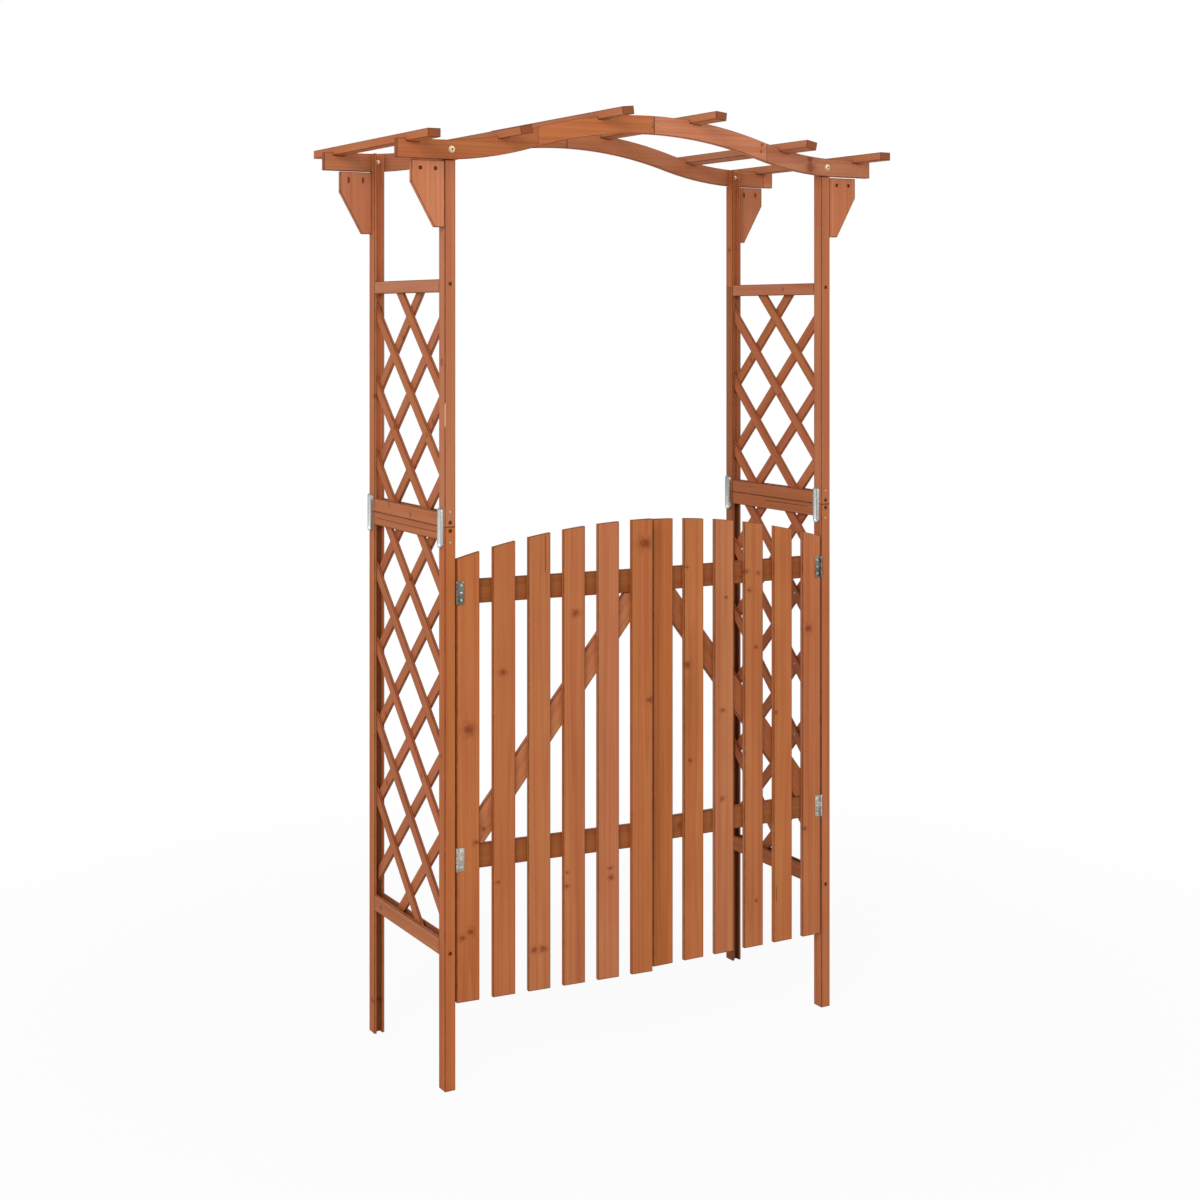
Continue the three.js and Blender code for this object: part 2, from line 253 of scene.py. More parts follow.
def link_new(name: str, data: bpy.types.ID) -> bpy.types.Object:
    """Put a mesh, a camera or a light into the scene as an object of its own.

    Args:
        name: The name of the object.
        data: What it shows.

    Returns:
        The new object.
    """
    piece = bpy.data.objects.new(name, data)
    bpy.context.scene.collection.objects.link(piece)
    return piece


def copy_to(piece: bpy.types.Object, name: str, place: Matrix) -> bpy.types.Object:
    """Copy a piece with a mesh of its own and put it in place.

    Args:
        piece: The piece to copy.
        name: The name of the copy.
        place: Where the copy goes, from where the piece is.

    Returns:
        The copy.
    """
    mesh = piece.data.copy()
    mesh.transform(place)
    return link_new(name, mesh)


def copy_solid(frame: dict, node: str, name: str, weld: float) -> bpy.types.Object:
    """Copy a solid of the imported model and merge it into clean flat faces.

    Args:
        frame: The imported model.
        node: The solid's node.
        name: The name of the copy.
        weld: How near each other two points count as one.

    Returns:
        The copy.
    """
    piece = link_new(name, frame["nodes"][node].data.copy())
    piece.data.materials.clear()

    def merge() -> None:
        """Merge doubles and dissolve the edges inside flat faces."""
        bpy.ops.mesh.remove_doubles(threshold=weld)
        bpy.ops.mesh.dissolve_limited(angle_limit=math.radians(0.4))

    edit(piece, merge)
    return piece


def join_as(name: str, pieces: Sequence[bpy.types.Object]) -> bpy.types.Object:
    """Join several pieces into one.

    Args:
        name: The name of the joined piece.
        pieces: The pieces, at least one.

    Returns:
        The joined piece.
    """
    pick_only(pieces[0])
    for piece in pieces:
        piece.select_set(True)
    bpy.ops.object.join()
    pieces[0].name = pieces[0].data.name = name
    return pieces[0]


def throw_away(piece: bpy.types.Object) -> None:
    """Remove a pattern piece or a cutter with its mesh."""
    bpy.data.meshes.remove(piece.data)


def subtract(piece: bpy.types.Object, cutters: Sequence[bpy.types.Object]) -> None:
    """Cut shapes out of a piece and throw the cutters away.

    Args:
        piece: The piece to cut.
        cutters: The shapes to take out.
    """
    for cutter in cutters:
        finish_with(piece, "BOOLEAN", object=cutter, operation="DIFFERENCE", solver="EXACT")
        throw_away(cutter)


def ease(piece: bpy.types.Object, width: float, segments: int, mark: bool = False) -> None:
    """Round the edges of a piece a little.

    Args:
        piece: The piece to ease.
        width: How far each edge is taken back.
        segments: How many facets the rounding has.
        mark: Whether the new faces get a second material index, for the grain marker to read.
    """
    if mark:
        piece.data.materials.append(None)
        piece.data.materials.append(None)
    finish_with(piece, "BEVEL", width=width, segments=segments, limit_method="ANGLE",
                angle_limit=math.radians(28), use_clamp_overlap=False, material=1 if mark else -1)


def smooth(piece: bpy.types.Object, degrees: float = 32) -> None:
    """Shade a piece smooth across all edges flatter than an angle."""
    pick_only(piece)
    bpy.ops.object.shade_smooth_by_angle(angle=math.radians(degrees))


def hand_over(piece: bpy.types.Object, material: bpy.types.Material, body: str) -> None:
    """Give a finished piece its material and body.

    Args:
        piece: The finished piece.
        material: Its finish.
        body: The body that it moves with.
    """
    piece.data.materials.clear()
    piece.data.materials.append(material)
    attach(piece, body)
    LOG.info("%s rides on %s, %d faces", piece.name, body, len(piece.data.polygons))


# ---- Finishes ---------------------------------------------------------------------------


class Sketch:
    """A node tree that is drawn one node at a time."""

    def __init__(self, owner: bpy.types.Material | bpy.types.World) -> None:
        """Start with an empty tree.

        Args:
            owner: The material or the world that the tree belongs to.
        """
        owner.use_nodes = True
        self.tree = owner.node_tree
        self.tree.nodes.clear()

    def add(self, kind: str, inputs: dict[str | int, object] | None = None,
            output: str | int = 0, **settings: object) -> Signal:
        """Add a node, set it up and link it.

        Args:
            kind: The node's type, without its common beginning.
            inputs: Values or signals, by the input's name or number.
            output: The name or number of the output to go on with.
            **settings: The node's own settings.

        Returns:
            What the node gives out.
        """
        node = self.tree.nodes.new("ShaderNode" + kind)
        for name, value in settings.items():
            setattr(node, name, value)
        for name, value in (inputs or {}).items():
            if isinstance(value, Signal):
                self.tree.links.new(value.socket, node.inputs[name])
            else:
                node.inputs[name].default_value = value
        return Signal(self, node.outputs[output])

    def show(self, kind: str, surface: Signal) -> None:
        """Link a shader to the tree's end, which is a Material's or a World's."""
        output = self.tree.nodes.new("ShaderNodeOutput" + kind)
        self.tree.links.new(surface.socket, output.inputs["Surface"])

    def read(self, name: str) -> Signal:
        """The vector that is written in a piece's mesh under a name."""
        return self.add("Attribute", output="Vector", attribute_name=name)

    def vector(self, *parts: object) -> Signal:
        """A vector from one to three numbers."""
        return self.add("CombineXYZ", dict(enumerate(parts)))

    def noise(self, place: Signal, fineness: float, detail: float, roughness: float = 0.5,
              output: str = "Fac") -> Signal:
        """Draw a noise from 0 to 1.

        Args:
            place: Where it is read.
            fineness: How fine it is.
            detail: How many finer layers it has.
            roughness: How strong the finer layers are.
            output: "Fac" for one number, or "Color" for three different ones.

        Returns:
            The noise.
        """
        inputs = {"Vector": place, "Scale": fineness, "Detail": detail, "Roughness": roughness}
        return self.add("TexNoise", inputs, output)

    def drift(self, place: Signal, fineness: float) -> Signal:
        """A vector that wanders softly round zero."""
        return self.noise(place, fineness, 2, output="Color") - 0.5

    def bump(self, height: Signal, strength: float, depth: float) -> Signal:
        """A normal for small heights on a surface."""
        return self.add("Bump", {"Strength": strength, "Distance": depth, "Height": height})


@dataclass(frozen=True)
class Signal:
    """What a node gives out, to reckon with as with a number, a place or a colour."""

    sketch: Sketch
    socket: bpy.types.NodeSocket

    def reckon(self, operation: str, *others: object) -> Signal:
        """Reckon with this signal and others.

        Args:
            operation: The operation's name.
            *others: Signals, numbers or vectors. Beside a vector, a number counts three times.

        Returns:
            The result.
        """
        kind = "Math"
        if self.socket.type != "VALUE":
            kind = "VectorMath"
            others = [(other,) * 3 if isinstance(other, (int, float)) else other for other in others]
        return self.sketch.add(kind, dict(enumerate((self, *others))), operation=operation)

    def __add__(self, other: object) -> Signal:
        """The sum."""
        return self.reckon("ADD", other)

    def __sub__(self, other: object) -> Signal:
        """The difference."""
        return self.reckon("SUBTRACT", other)

    def __mul__(self, other: object) -> Signal:
        """The product, of vectors part by part."""
        return self.reckon("MULTIPLY", other)

    def __truediv__(self, other: object) -> Signal:
        """The quotient."""
        return self.reckon("DIVIDE", other)

    def __abs__(self) -> Signal:
        """The value without its sign."""
        return self.reckon("ABSOLUTE")

    def least(self, other: object) -> Signal:
        """The smaller one of two."""
        return self.reckon("MINIMUM", other)

    def most(self, other: object) -> Signal:
        """The larger one of two."""
        return self.reckon("MAXIMUM", other)

    def length(self) -> Signal:
        """The length of a vector."""
        return self.sketch.add("VectorMath", {0: self}, "Value", operation="LENGTH")

    def grey(self) -> Signal:
        """The brightness of a colour."""
        return self.sketch.add("RGBToBW", {0: self})

    def parts(self) -> list[Signal]:
        """The three numbers of a vector."""
        node = self.sketch.add("SeparateXYZ", {0: self}).socket.node
        return [Signal(self.sketch, socket) for socket in node.outputs]

    def between(self, low: float, high: float, start: float, end: float,
                soft: bool = False) -> Signal:
        """Map a number from one stretch to another and hold it there.

        Args:
            low: Where the stretch starts.
            high: Where the stretch ends.
            start: The result at low.
            end: The result at high.
            soft: Whether the change starts and ends softly.

        Returns:
            The result.
        """
        inputs = {0: self, 1: low, 2: high, 3: start, 4: end}
        change = "SMOOTHSTEP" if soft else "LINEAR"
        return self.sketch.add("MapRange", inputs, interpolation_type=change)

    def ramp(self, *stops: tuple[float, Shade]) -> Signal:
        """Turn a number into a colour.

        Args:
            *stops: Places from 0 to 1, each with its linear colour.

        Returns:
            The colour.
        """
        colour = self.sketch.add("ValToRGB", {0: self}, "Color")
        elements = colour.socket.node.color_ramp.elements
        while len(elements) < len(stops):
            elements.new(1.0)
        for element, (place, shade) in zip(elements, stops):
            element.position = place
            element.color = opaque(shade)
        return colour

    def tinted(self, share: Signal, shade: Shade) -> Signal:
        """This colour with a share of a screen colour mixed in."""
        inputs = {0: share, 6: self, 7: opaque(linear(shade))}
        return self.sketch.add("Mix", inputs, 2, data_type="RGBA", clamp_result=False)


def linear(shade: Shade) -> Shade:
    """A screen colour, from 0 to 255, as linear light."""
    shares = [value / 255 for value in shade]
    return tuple(c / 12.92 if c <= 0.04045 else ((c + 0.055) / 1.055) ** 2.4 for c in shares)


def opaque(shade: Shade) -> tuple[float, float, float, float]:
    """A linear colour with full cover."""
    return (*shade, 1.0)


@dataclass(frozen=True)
class StainedSoftwood:
    """Planed softwood under a thin orange-brown stain.

    The pattern reads the board's own attributes. "grain" runs along, across and through the
    board in metres, measured from the middle of the tree. "tone" holds the board's steps of
    shade, hue and saturation. "knot_1" and so on hold a knot's place along and across the board
    and its radius. "streak" holds a dark line's middle along and across the board and half its
    length. "seam" holds the place of a glued joint along the board and how much the shade
    changes beyond it. "low" and "high" hold the corners of the board, and the colour is darker
    along its edges, partly from stain that collects there and partly as painted shade. "chip"
    holds the middle of a chipped edge, and "chip_length" half its length. "cut" says how far a
    face is end grain or eased, and how much painted shade it gets inside a groove or a hole,
    where a negative value paints light instead.
    """

    name: str
    pale: Shade
    middling: Shade
    deep: Shade
    knot_heart: Shade = (112, 52, 24)
    knot_rim: Shade = (138, 68, 34)
    dark_line: Shade = (84, 38, 20)
    end_grain: Shade = (136, 68, 34)
    # The edge colour is partly stain that collects at the arrises and partly painted shade.
    edge: Shade = (82, 38, 20)
    # Painted shade for faces inside grooves and holes, then painted light for the grooves of the upper
    # posts.
    groove: Shade = (92, 42, 22)
    pale_groove: Shade = (238, 156, 106)
    bare_wood: Shade = (232, 192, 158)
    heart_share: float = 0.5
    rim_share: float = 0.3
    streak_share: float = 0.8
    seam_share: float = 0.7
    end_grain_share: float = 0.8
    edge_shares: tuple[float, float] = (0.6, 0.95)
    groove_share: float = 0.6
    chip_share: float = 0.85
    edge_reach: float = 2.4 * MM
    chip_reach: float = 2.0 * MM
    streak_reach: float = 1.2 * MM
    seam_reach: float = 1.1 * MM
    mark_fade: float = 8 * MM
    beyond_seam: float = 1.7
    ring_spacing: float = 4.2 * MM
    ring_parting: float = 7.0
    along_stretch: float = 0.045
    ring_drift: float = 14 * MM
    knot_drift: float = 6 * MM
    knot_flatness: float = 1.3
    knot_fray: float = 9 * MM
    fibre_fineness: Point = (7, 620, 620)
    figure_fineness: Point = (1.3, 62, 62)
    cloud_fineness: Point = (5, 14, 14)
    band_fineness: Point = (0.9, 88, 88)
    ring_depth: float = 0.16
    fibre_depth: float = 0.22
    figure_depth: float = 0.52
    cloud_depth: float = 0.34
    knot_depth: float = 0.42
    lightening: float = 0.17
    hue_swing: float = 0.028
    hue_step: float = 0.003
    saturation_step: float = 0.03
    shade_step: float = 0.06
    gloss_low: float = 0.46
    gloss_high: float = 0.66

    def knot_distance(self, sketch: Sketch, place: Signal) -> Signal:
        """Measure how far a point is from the nearest knot, in knot radii.

        Args:
            sketch: The tree to draw in.
            place: The place in the board.

        Returns:
            The distance.
        """
        x, y, _ = place.parts()
        nearest = None
        for number in range(1, KNOTS_PER_BOARD + 1):
            along, across, radius = sketch.read(f"knot_{number}").parts()
            radii = sketch.vector((x - along) * self.knot_flatness, y - across).length() / radius
            nearest = nearest.least(radii) if nearest else radii
        return nearest

    def inside_mark(self, away: Signal, half_length: Signal) -> Signal:
        """How far a point is inside a mark's length, from 0 to 1."""
        return (abs(away) - half_length).between(-self.mark_fade, 0, 1, 0, soft=True)

    def streak_cover(self, sketch: Sketch, place: Signal) -> Signal:
        """Find how much of the board's dark line covers a point.

        Args:
            sketch: The tree to draw in.
            place: The place in the board.

        Returns:
            The cover, from 0 to 1.
        """
        x, y, _ = place.parts()
        along, across, half_length = sketch.read("streak").parts()
        core = abs(y - across).between(0.5 * MM, self.streak_reach, 1, 0, soft=True)
        return self.inside_mark(x - along, half_length) * core

    def edge_cover(self, sketch: Sketch, place: Signal) -> Signal:
        """Find how much of the darker edge covers a point, partly stain and partly painted shade.

        On a surface, the middle one of the distances to the board's ends, edges and faces is the
        distance to the nearest edge.

        Args:
            sketch: The tree to draw in.
            place: The place in the board.

        Returns:
            The cover, from 0 to 1.
        """
        x, y, z = (place - sketch.read("low")).least(sketch.read("high") - place).parts()
        from_edge = x.least(y).most(x.most(y).least(z))
        return from_edge.between(0.2 * MM, self.edge_reach, 1, 0, soft=True)

    def chip_cover(self, sketch: Sketch, place: Signal) -> Signal:
        """Find how much of the board's chipped edge covers a point.

        Args:
            sketch: The tree to draw in.
            place: The place in the board.

        Returns:
            The cover, from 0 to the chip's share.
        """
        x, y, z = (place - sketch.read("chip")).parts()
        away = sketch.vector(y, z).length()
        core = away.between(0.6 * self.chip_reach, self.chip_reach, self.chip_share, 0)
        return self.inside_mark(x, sketch.read("chip_length").parts()[0]) * core

    def rings(self, sketch: Sketch, place: Signal, halo: Signal) -> Signal:
        """Draw the growth rings, which part round the knots.

        Args:
            sketch: The tree to draw in.
            place: The place in the board.
            halo: How near a knot is.

        Returns:
            How much late wood a point has, from 0 to 1.
        """
        wave = sketch.add("TexWave", {
            "Vector": place * (self.along_stretch, 1, 1),
            "Scale": math.tau / 20 / self.ring_spacing,
            "Distortion": 1.6,
            "Detail": 2,
            "Detail Scale": 0.6,
            "Phase Offset": halo * self.ring_parting,
        }, "Fac", wave_type="RINGS", rings_direction="X", wave_profile="SAW")
        early, late = (0, 0, 0), (1, 1, 1)
        return wave.ramp((0, early), (0.45, (0.12, 0.12, 0.12)), (0.86, late), (1, early)).grey()

    def toned(self, sketch: Sketch, wood: Signal, bands: Signal, seam_shade: Signal) -> Signal:
        """Give the wood its board's own shade, hue and saturation.

        Args:
            sketch: The tree to draw in.
            wood: The colour of the wood.
            bands: Broad bands along the board, whose hue differs a little.
            seam_shade: How much the shade changes beyond a glued joint.

        Returns:
            The toned colour.
        """
        shade, hue, saturation = sketch.read("tone").parts()
        return sketch.add("HueSaturation", {
            "Hue": bands * self.hue_swing + (hue * self.hue_step + (0.5 - self.hue_swing / 2)),
            "Saturation": saturation * self.saturation_step + 1.0,
            "Value": (seam_shade + shade) * self.shade_step + 1.0,
            "Color": wood,
        })

    def material(self) -> bpy.types.Material:
        """Draw the finish.

        Returns:
            The material.
        """
        material = bpy.data.materials.new(self.name)
        sketch = Sketch(material)
        place = sketch.read("grain")
        seam, seam_step, _ = sketch.read("seam").parts()
        from_seam = place.parts()[0] - seam
        beyond = from_seam.reckon("GREATER_THAN", 0.0)
        seam_line = abs(from_seam).between(0.4 * MM, self.seam_reach, 1, 0)
        grain = place + sketch.vector(beyond * self.beyond_seam)

        drift = sketch.drift(grain * (self.along_stretch, 1, 1), 26)
        wandering = grain + drift * (0, self.ring_drift, self.ring_drift)
        wavering = place + drift * (self.knot_drift, self.knot_drift, 0)
        radii = self.knot_distance(sketch, wavering + sketch.drift(place, 120) * self.knot_fray)
        halo = radii.between(0.6, 4.0, 1, 0).reckon("POWER", 2.0)
        heart = radii.between(0.2, 1.55, 1, 0, soft=True)
        rim = radii.between(0.5, 0.95, 0, 1, soft=True) * radii.between(0.95, 1.7, 1, 0, soft=True)

        late_wood = self.rings(sketch, wandering, halo)
        fibres = sketch.noise(grain * self.fibre_fineness, 1, 3, 0.6)
        figure = sketch.noise(wandering * self.figure_fineness, 1, 3, 0.55)
        clouds = sketch.noise(grain * self.cloud_fineness, 1, 2)
        bands = sketch.noise(wandering * self.band_fineness, 1, 2)
        depth = (figure * self.figure_depth + late_wood * self.ring_depth
                 + fibres * self.fibre_depth + clouds * self.cloud_depth - self.lightening
                 + halo * self.knot_depth)
        wood = depth.ramp(
            (0.12, linear(self.pale)), (0.5, linear(self.middling)), (0.95, linear(self.deep)))
        wood = self.toned(sketch, wood, bands, beyond * seam_step)

        end, eased, painted_recess_shade = sketch.read("cut").parts()
        streak = self.streak_cover(sketch, wavering)
        edge_stain_and_shade_share = sketch.noise(grain, 60, 3).between(0.35, 0.65, *self.edge_shares)
        for share, shade in (
            (rim * self.rim_share, self.knot_rim),
            (heart * self.heart_share, self.knot_heart),
            ((streak * self.streak_share).most(seam_line * self.seam_share), self.dark_line),
            (end * self.end_grain_share, self.end_grain),
            # Darker edges: partly stain that collects at the arrises, partly painted shade.
            (eased.most(self.edge_cover(sketch, place)) * edge_stain_and_shade_share, self.edge),
            # Painted shade inside grooves and holes, and painted light in grooves where the value is
            # negative.
            (painted_recess_shade * self.groove_share, self.groove),
            (painted_recess_shade * -1.0, self.pale_groove),
            (self.chip_cover(sketch, place), self.bare_wood),
        ):
            wood = wood.tinted(share, shade)

        gloss = fibres * 0.5 + late_wood * 0.35
        sketch.show("Material", sketch.add("BsdfPrincipled", {
            "Base Color": wood,
            "Roughness": gloss.between(0, 1, self.gloss_high, self.gloss_low),
            "Normal": sketch.bump(fibres * 0.8 - late_wood * 0.5, 0.35, 0.25 * MM),
            "Specular IOR Level": 0.2,
        }))
        return material


@dataclass(frozen=True)
class PlatedSteel:
    """Plated steel with a crystalline, slightly brushed surface."""

    name: str
    bright: Shade
    dull: Shade
    grime: Shade = (92, 86, 76)
    grime_share: float = 0.25
    gloss_low: float = 0.24
    gloss_high: float = 0.46
    crystal: float = 320.0
    brush_fineness: Point = (1500, 1500, 90)

    def material(self) -> bpy.types.Material:
        """Draw the finish.

        Returns:
            The material.
        """
        material = bpy.data.materials.new(self.name)
        sketch = Sketch(material)
        place = sketch.add("TexCoord", output="Object")
        crystals = sketch.add("TexVoronoi", {"Vector": place, "Scale": self.crystal}, "Color")
        brushed = sketch.noise(place * self.brush_fineness, 1, 3)
        soiled = sketch.noise(place, 160, 4, 0.65).between(0.5, 0.72, 0, self.grime_share)
        share = crystals.parts()[0] * 0.55 + brushed * 0.45
        metal = share.ramp((0.15, linear(self.dull)), (0.85, linear(self.bright)))
        sketch.show("Material", sketch.add("BsdfPrincipled", {
            "Base Color": metal.tinted(soiled, self.grime),
            "Metallic": 1.0,
            "Roughness": share.between(0, 1, self.gloss_high, self.gloss_low),
            "Normal": sketch.bump(brushed, 0.2, 0.08 * MM),
        }))
        return material


class Finishes:
    """Every finish of the arch, each made once."""

    def __init__(self) -> None:
        """Draw all the materials."""
        stains = {
            Slot.FRAME: StainedSoftwood("frame_stain", (202, 127, 80), (182, 104, 60), (148, 76, 40)),
            Slot.LATH: StainedSoftwood("lath_stain", (198, 122, 78), (178, 100, 60), (144, 72, 38)),
            Slot.ROOF: StainedSoftwood("roof_stain", (206, 134, 94), (186, 111, 72), (150, 80, 46)),
            Slot.GATE: StainedSoftwood("gate_stain", (199, 124, 74), (181, 104, 58), (147, 76, 39)),
        }
        self.timber = {slot: stain.material() for slot, stain in stains.items()}
        self.zinc = PlatedSteel(
            "plate_zinc", (220, 224, 222), (192, 197, 195), grime_share=0.14).material()
        # The hinges' zinc comes in two copies that differ only in brightness: the bright one is a painted
        # highlight on the lower hinges, the darker one painted shade on the upper hinges.
        self.hinge = PlatedSteel(
            "hinge_zinc", (146, 145, 134), (88, 88, 78), grime_share=0.6).material()
        self.bright_hinge = PlatedSteel(
            "bright_hinge_zinc", (224, 220, 208), (156, 152, 140), grime_share=0.4).material()
        self.brass = PlatedSteel(
            "bolt_yellow_zinc", (244, 226, 190), (206, 180, 134), crystal=700).material()
        # Dark brown for the screws and nails sunk in holes: their colour is partly painted shade of the
        # holes.
        self.dark_screw = PlatedSteel(
            "screw_dark", (150, 96, 66), (96, 58, 38), grime=(58, 32, 20)).material()


# ---- Timber -----------------------------------------------------------------------------


@dataclass(frozen=True)
class Knot:
    """A knot: its place along the model, its distance from the middle line and its radius."""

    along: float
    across: float
    radius: float


@dataclass(frozen=True)
class Streak:
    """A dark line in the grain: the place of its middle and half its length."""

    along: float
    across: float
    half_length: float


@dataclass(frozen=True)
class Seam:
    """A glued joint across a board: its place and how the shade changes beyond it."""

    along: float
    shade: float


@dataclass(frozen=True)
class Chip:
    """A long chip of bare wood on an edge.

    It has its middle's place along the board, half its length, and the side of the board's
    section that the edge is on, as the signs of across and through.
    """

    along: float
    half_length: float
    corner: tuple[int, int]


@dataclass(frozen=True)
class Character:
    """What sets one board apart: its shade, knots, dark line, glued joint and chipped edge.

    Places along a board are measured in the model, and places across it from its middle line.
    A shade of 1 is one step lighter than the usual stain, and a paleness of 1 takes a tenth of
    its colour away. Without a list of knots, a board gets random ones.
    """

    shade: float = 0.0
    paleness: float = 0.0
    knots: Sequence[Knot] | None = None
    streak: Streak | None = None
    seam: Seam | None = None
    chip: Chip | None = None


def knots(*rows: Point) -> tuple[Knot, ...]:
    """Knots from rows of place along, place across and radius in millimetres."""
    return tuple(Knot(along * MM, across * MM, radius * MM) for along, across, radius in rows)


CHARACTERS = {
    "left_slat_1": Character(knots=knots((739, 1, 8.5), (504, 17, 4), (321, 4, 5.5), (311, -12, 4.5))),
    "left_slat_2": Character(paleness=-0.2, knots=knots((851, -3, 5), (415, -14, 3))),
    "left_slat_3": Character(
        knots=knots((264, -12, 5.5), (263, 8, 6)), streak=Streak(1093 * MM, 12.4 * MM, 42 * MM)),
    "left_slat_4": Character(knots=knots((964, 2, 5.5), (387, -19, 3.5), (416, -18, 2.6))),
    "left_slat_5": Character(shade=1, paleness=0.3, knots=knots((394, 6, 4), (414, 4, 3))),
    "left_slat_6": Character(shade=0.3, knots=knots((1104, 7, 10), (765, 19, 5.5))),
    # Part of the ledges' low shade is painted shade, for they sit behind the slats; the rest is a darker
    # stain.
    "left_lower_ledge": Character(shade=-4.6, paleness=-0.4, knots=()),
    "left_upper_ledge": Character(shade=-6, paleness=-0.3, knots=()),
    "left_brace": Character(shade=1.5, paleness=0.4, knots=knots((183, 7, 3.5))),
    "right_slat_1": Character(shade=1.3, knots=knots((878, -10, 7), (419, -20, 3.5))),
    "right_slat_2": Character(
        shade=1.2, knots=knots((695, -20, 3)), streak=Streak(280 * MM, -17.5 * MM, 22 * MM)),
    "right_slat_3": Character(knots=knots(
        (1019, -20, 3.6), (1014, 12, 3.2), (977, -12, 3.2), (847, 6, 3), (276, 6, 2.8))),
    "right_slat_4": Character(
        shade=1.3, paleness=0.2, knots=knots((966, 5, 3.2), (714, -3, 3.4), (517, -6, 4))),
    "right_slat_5": Character(shade=0.8, knots=knots((1040, -18, 3), (824, -17, 6), (612, -8, 4))),
    "right_slat_6": Character(shade=0.6, paleness=-0.4, knots=()),
    # Part of the ledges' low shade is painted shade, for they sit behind the slats; the rest is a darker
    # stain.
    "right_lower_ledge": Character(shade=-5.5, paleness=-0.3, knots=knots((85, -3, 3.5))),
    "right_upper_ledge": Character(shade=-6, paleness=-0.3, knots=()),
    "right_brace": Character(shade=-4, knots=()),
    "front_left_lower_post": Character(shade=0.3, paleness=-0.3),
    "front_left_upper_post": Character(
        paleness=0.4, shade=0.5, knots=knots((1502, -1.5, 3.5), (1495, -1, 3.5)),
        chip=Chip(1390 * MM, 28 * MM, (1, -1))),
    "front_right_upper_post": Character(paleness=0.4, shade=0.5, knots=()),
    "rear_left_upper_post": Character(shade=0.8, knots=knots((1417, 12, 3.5))),
    # The rear right posts' low shades are painted shade. The upper post is one board: the step at 1665 mm
    # makes it lighter above the top rail, and the joint line drawn there hides behind the rail.
    "rear_right_upper_post": Character(
        shade=-4.3, paleness=-0.4, knots=knots((1757, -1.5, 4)), seam=Seam(1665 * MM, 4.5)),
    "rear_right_lower_post": Character(shade=-4),
    "left_top_rail": Character(paleness=0.65, shade=1, knots=()),
    "right_top_rail": Character(paleness=0.5, knots=knots((-45, -1, 2.6))),
    "left_upper_middle_rail": Character(knots=knots((-24, -5, 3), (89, 8, 3))),
    "left_lower_middle_rail": Character(knots=(), streak=Streak(0, 1.5 * MM, 160 * MM)),
    "right_upper_middle_rail": Character(shade=-1, knots=()),
    "right_lower_middle_rail": Character(
        shade=-1, knots=(), streak=Streak(-60 * MM, 5.5 * MM, 90 * MM)),
    "front_beam_left_half": Character(
        shade=-1.5, paleness=-0.6, knots=knots((-232, 13, 3)), seam=Seam(-277 * MM, 2.5)),
    "front_beam_right_half": Character(
        shade=3.8, paleness=0.3, seam=Seam(308 * MM, -3.8),
        knots=knots((295, -7, 3), (292, 5.5, 2.6), (429, 21, 6), (430, 40, 8))),
    "rear_beam_left_half": Character(shade=-1, knots=()),
    "rear_beam_right_half": Character(shade=-1, knots=(), seam=Seam(573 * MM, 4)),
    "rafter_1": Character(paleness=-0.7),
    "front_left_bracket": Character(shade=2.5, knots=()),
    "front_right_bracket": Character(shade=1, knots=()),
}


@dataclass(frozen=True)
class Heading:
    """The directions of a board's length, width and thickness."""

    along: Vector
    across: Vector
    through: Vector

    @staticmethod
    def towards(along: Vector, through: Vector) -> Heading:
        """A heading from the directions of the length and the thickness."""
        return Heading(along, through.cross(along), through)

    @staticmethod
    def of(piece: bpy.types.Object) -> Heading:
        """Read a straight board's heading from its longest edge and its largest face.

        Args:
            piece: The board.

        Returns:
            Its heading, with each direction's main part positive.
        """
        mesh = piece.data
        edges = [mesh.vertices[e.vertices[1]].co - mesh.vertices[e.vertices[0]].co for e in mesh.edges]
        along = positive(max(edges, key=lambda edge: edge.length).normalized())
        flanks = [p for p in mesh.polygons if abs(p.normal.dot(along)) < 0.01]
        through = positive(max(flanks, key=lambda p: p.area).normal.copy())
        return Heading.towards(along, through)

    def read(self, point: Vector) -> Vector:
        """A point's distances along, across and through the board."""
        return Vector((point.dot(self.along), point.dot(self.across), point.dot(self.through)))


def positive(direction: Vector) -> Vector:
    """Turn a direction round where its main part is negative."""
    return direction if max(direction, key=abs) > 0 else -direction


@dataclass(frozen=True)
class Hole:
    """A drilled hole: where it starts, the way its mouth looks, its radius, depth and rise."""

    mouth: Sequence[float]
    way: Way
    radius: float
    depth: float = 5.0 * MM
    rise: float = 0.0

    def place(self) -> Matrix:
        """Where a drill goes that stands on the Z axis."""
        tilt = Matrix.Rotation(math.radians(self.rise), 4, "X")
        return Matrix.Translation(self.mouth) @ self.way.turn() @ tilt

    def holds(self, point: Vector) -> bool:
        """Whether a point is in the hole or on its wall."""
        x, y, z = self.place().inverted() @ point
        return math.hypot(x, y) < 1.05 * self.radius and abs(z) < 1.05 * self.depth and z < 0.1 * MM


def write(mesh: bpy.types.Mesh, name: str, domain: str, values: Iterable[Sequence[float]]) -> None:
    """Write a vector for each point or each face of a mesh.

    Args:
        mesh: The mesh.
        name: The name of the attribute.
        domain: "POINT" or "FACE".
        values: A vector for each of them.
    """
    layer = mesh.attributes.new(name, "FLOAT_VECTOR", domain)
    layer.data.foreach_set("vector", [number for value in values for number in value])


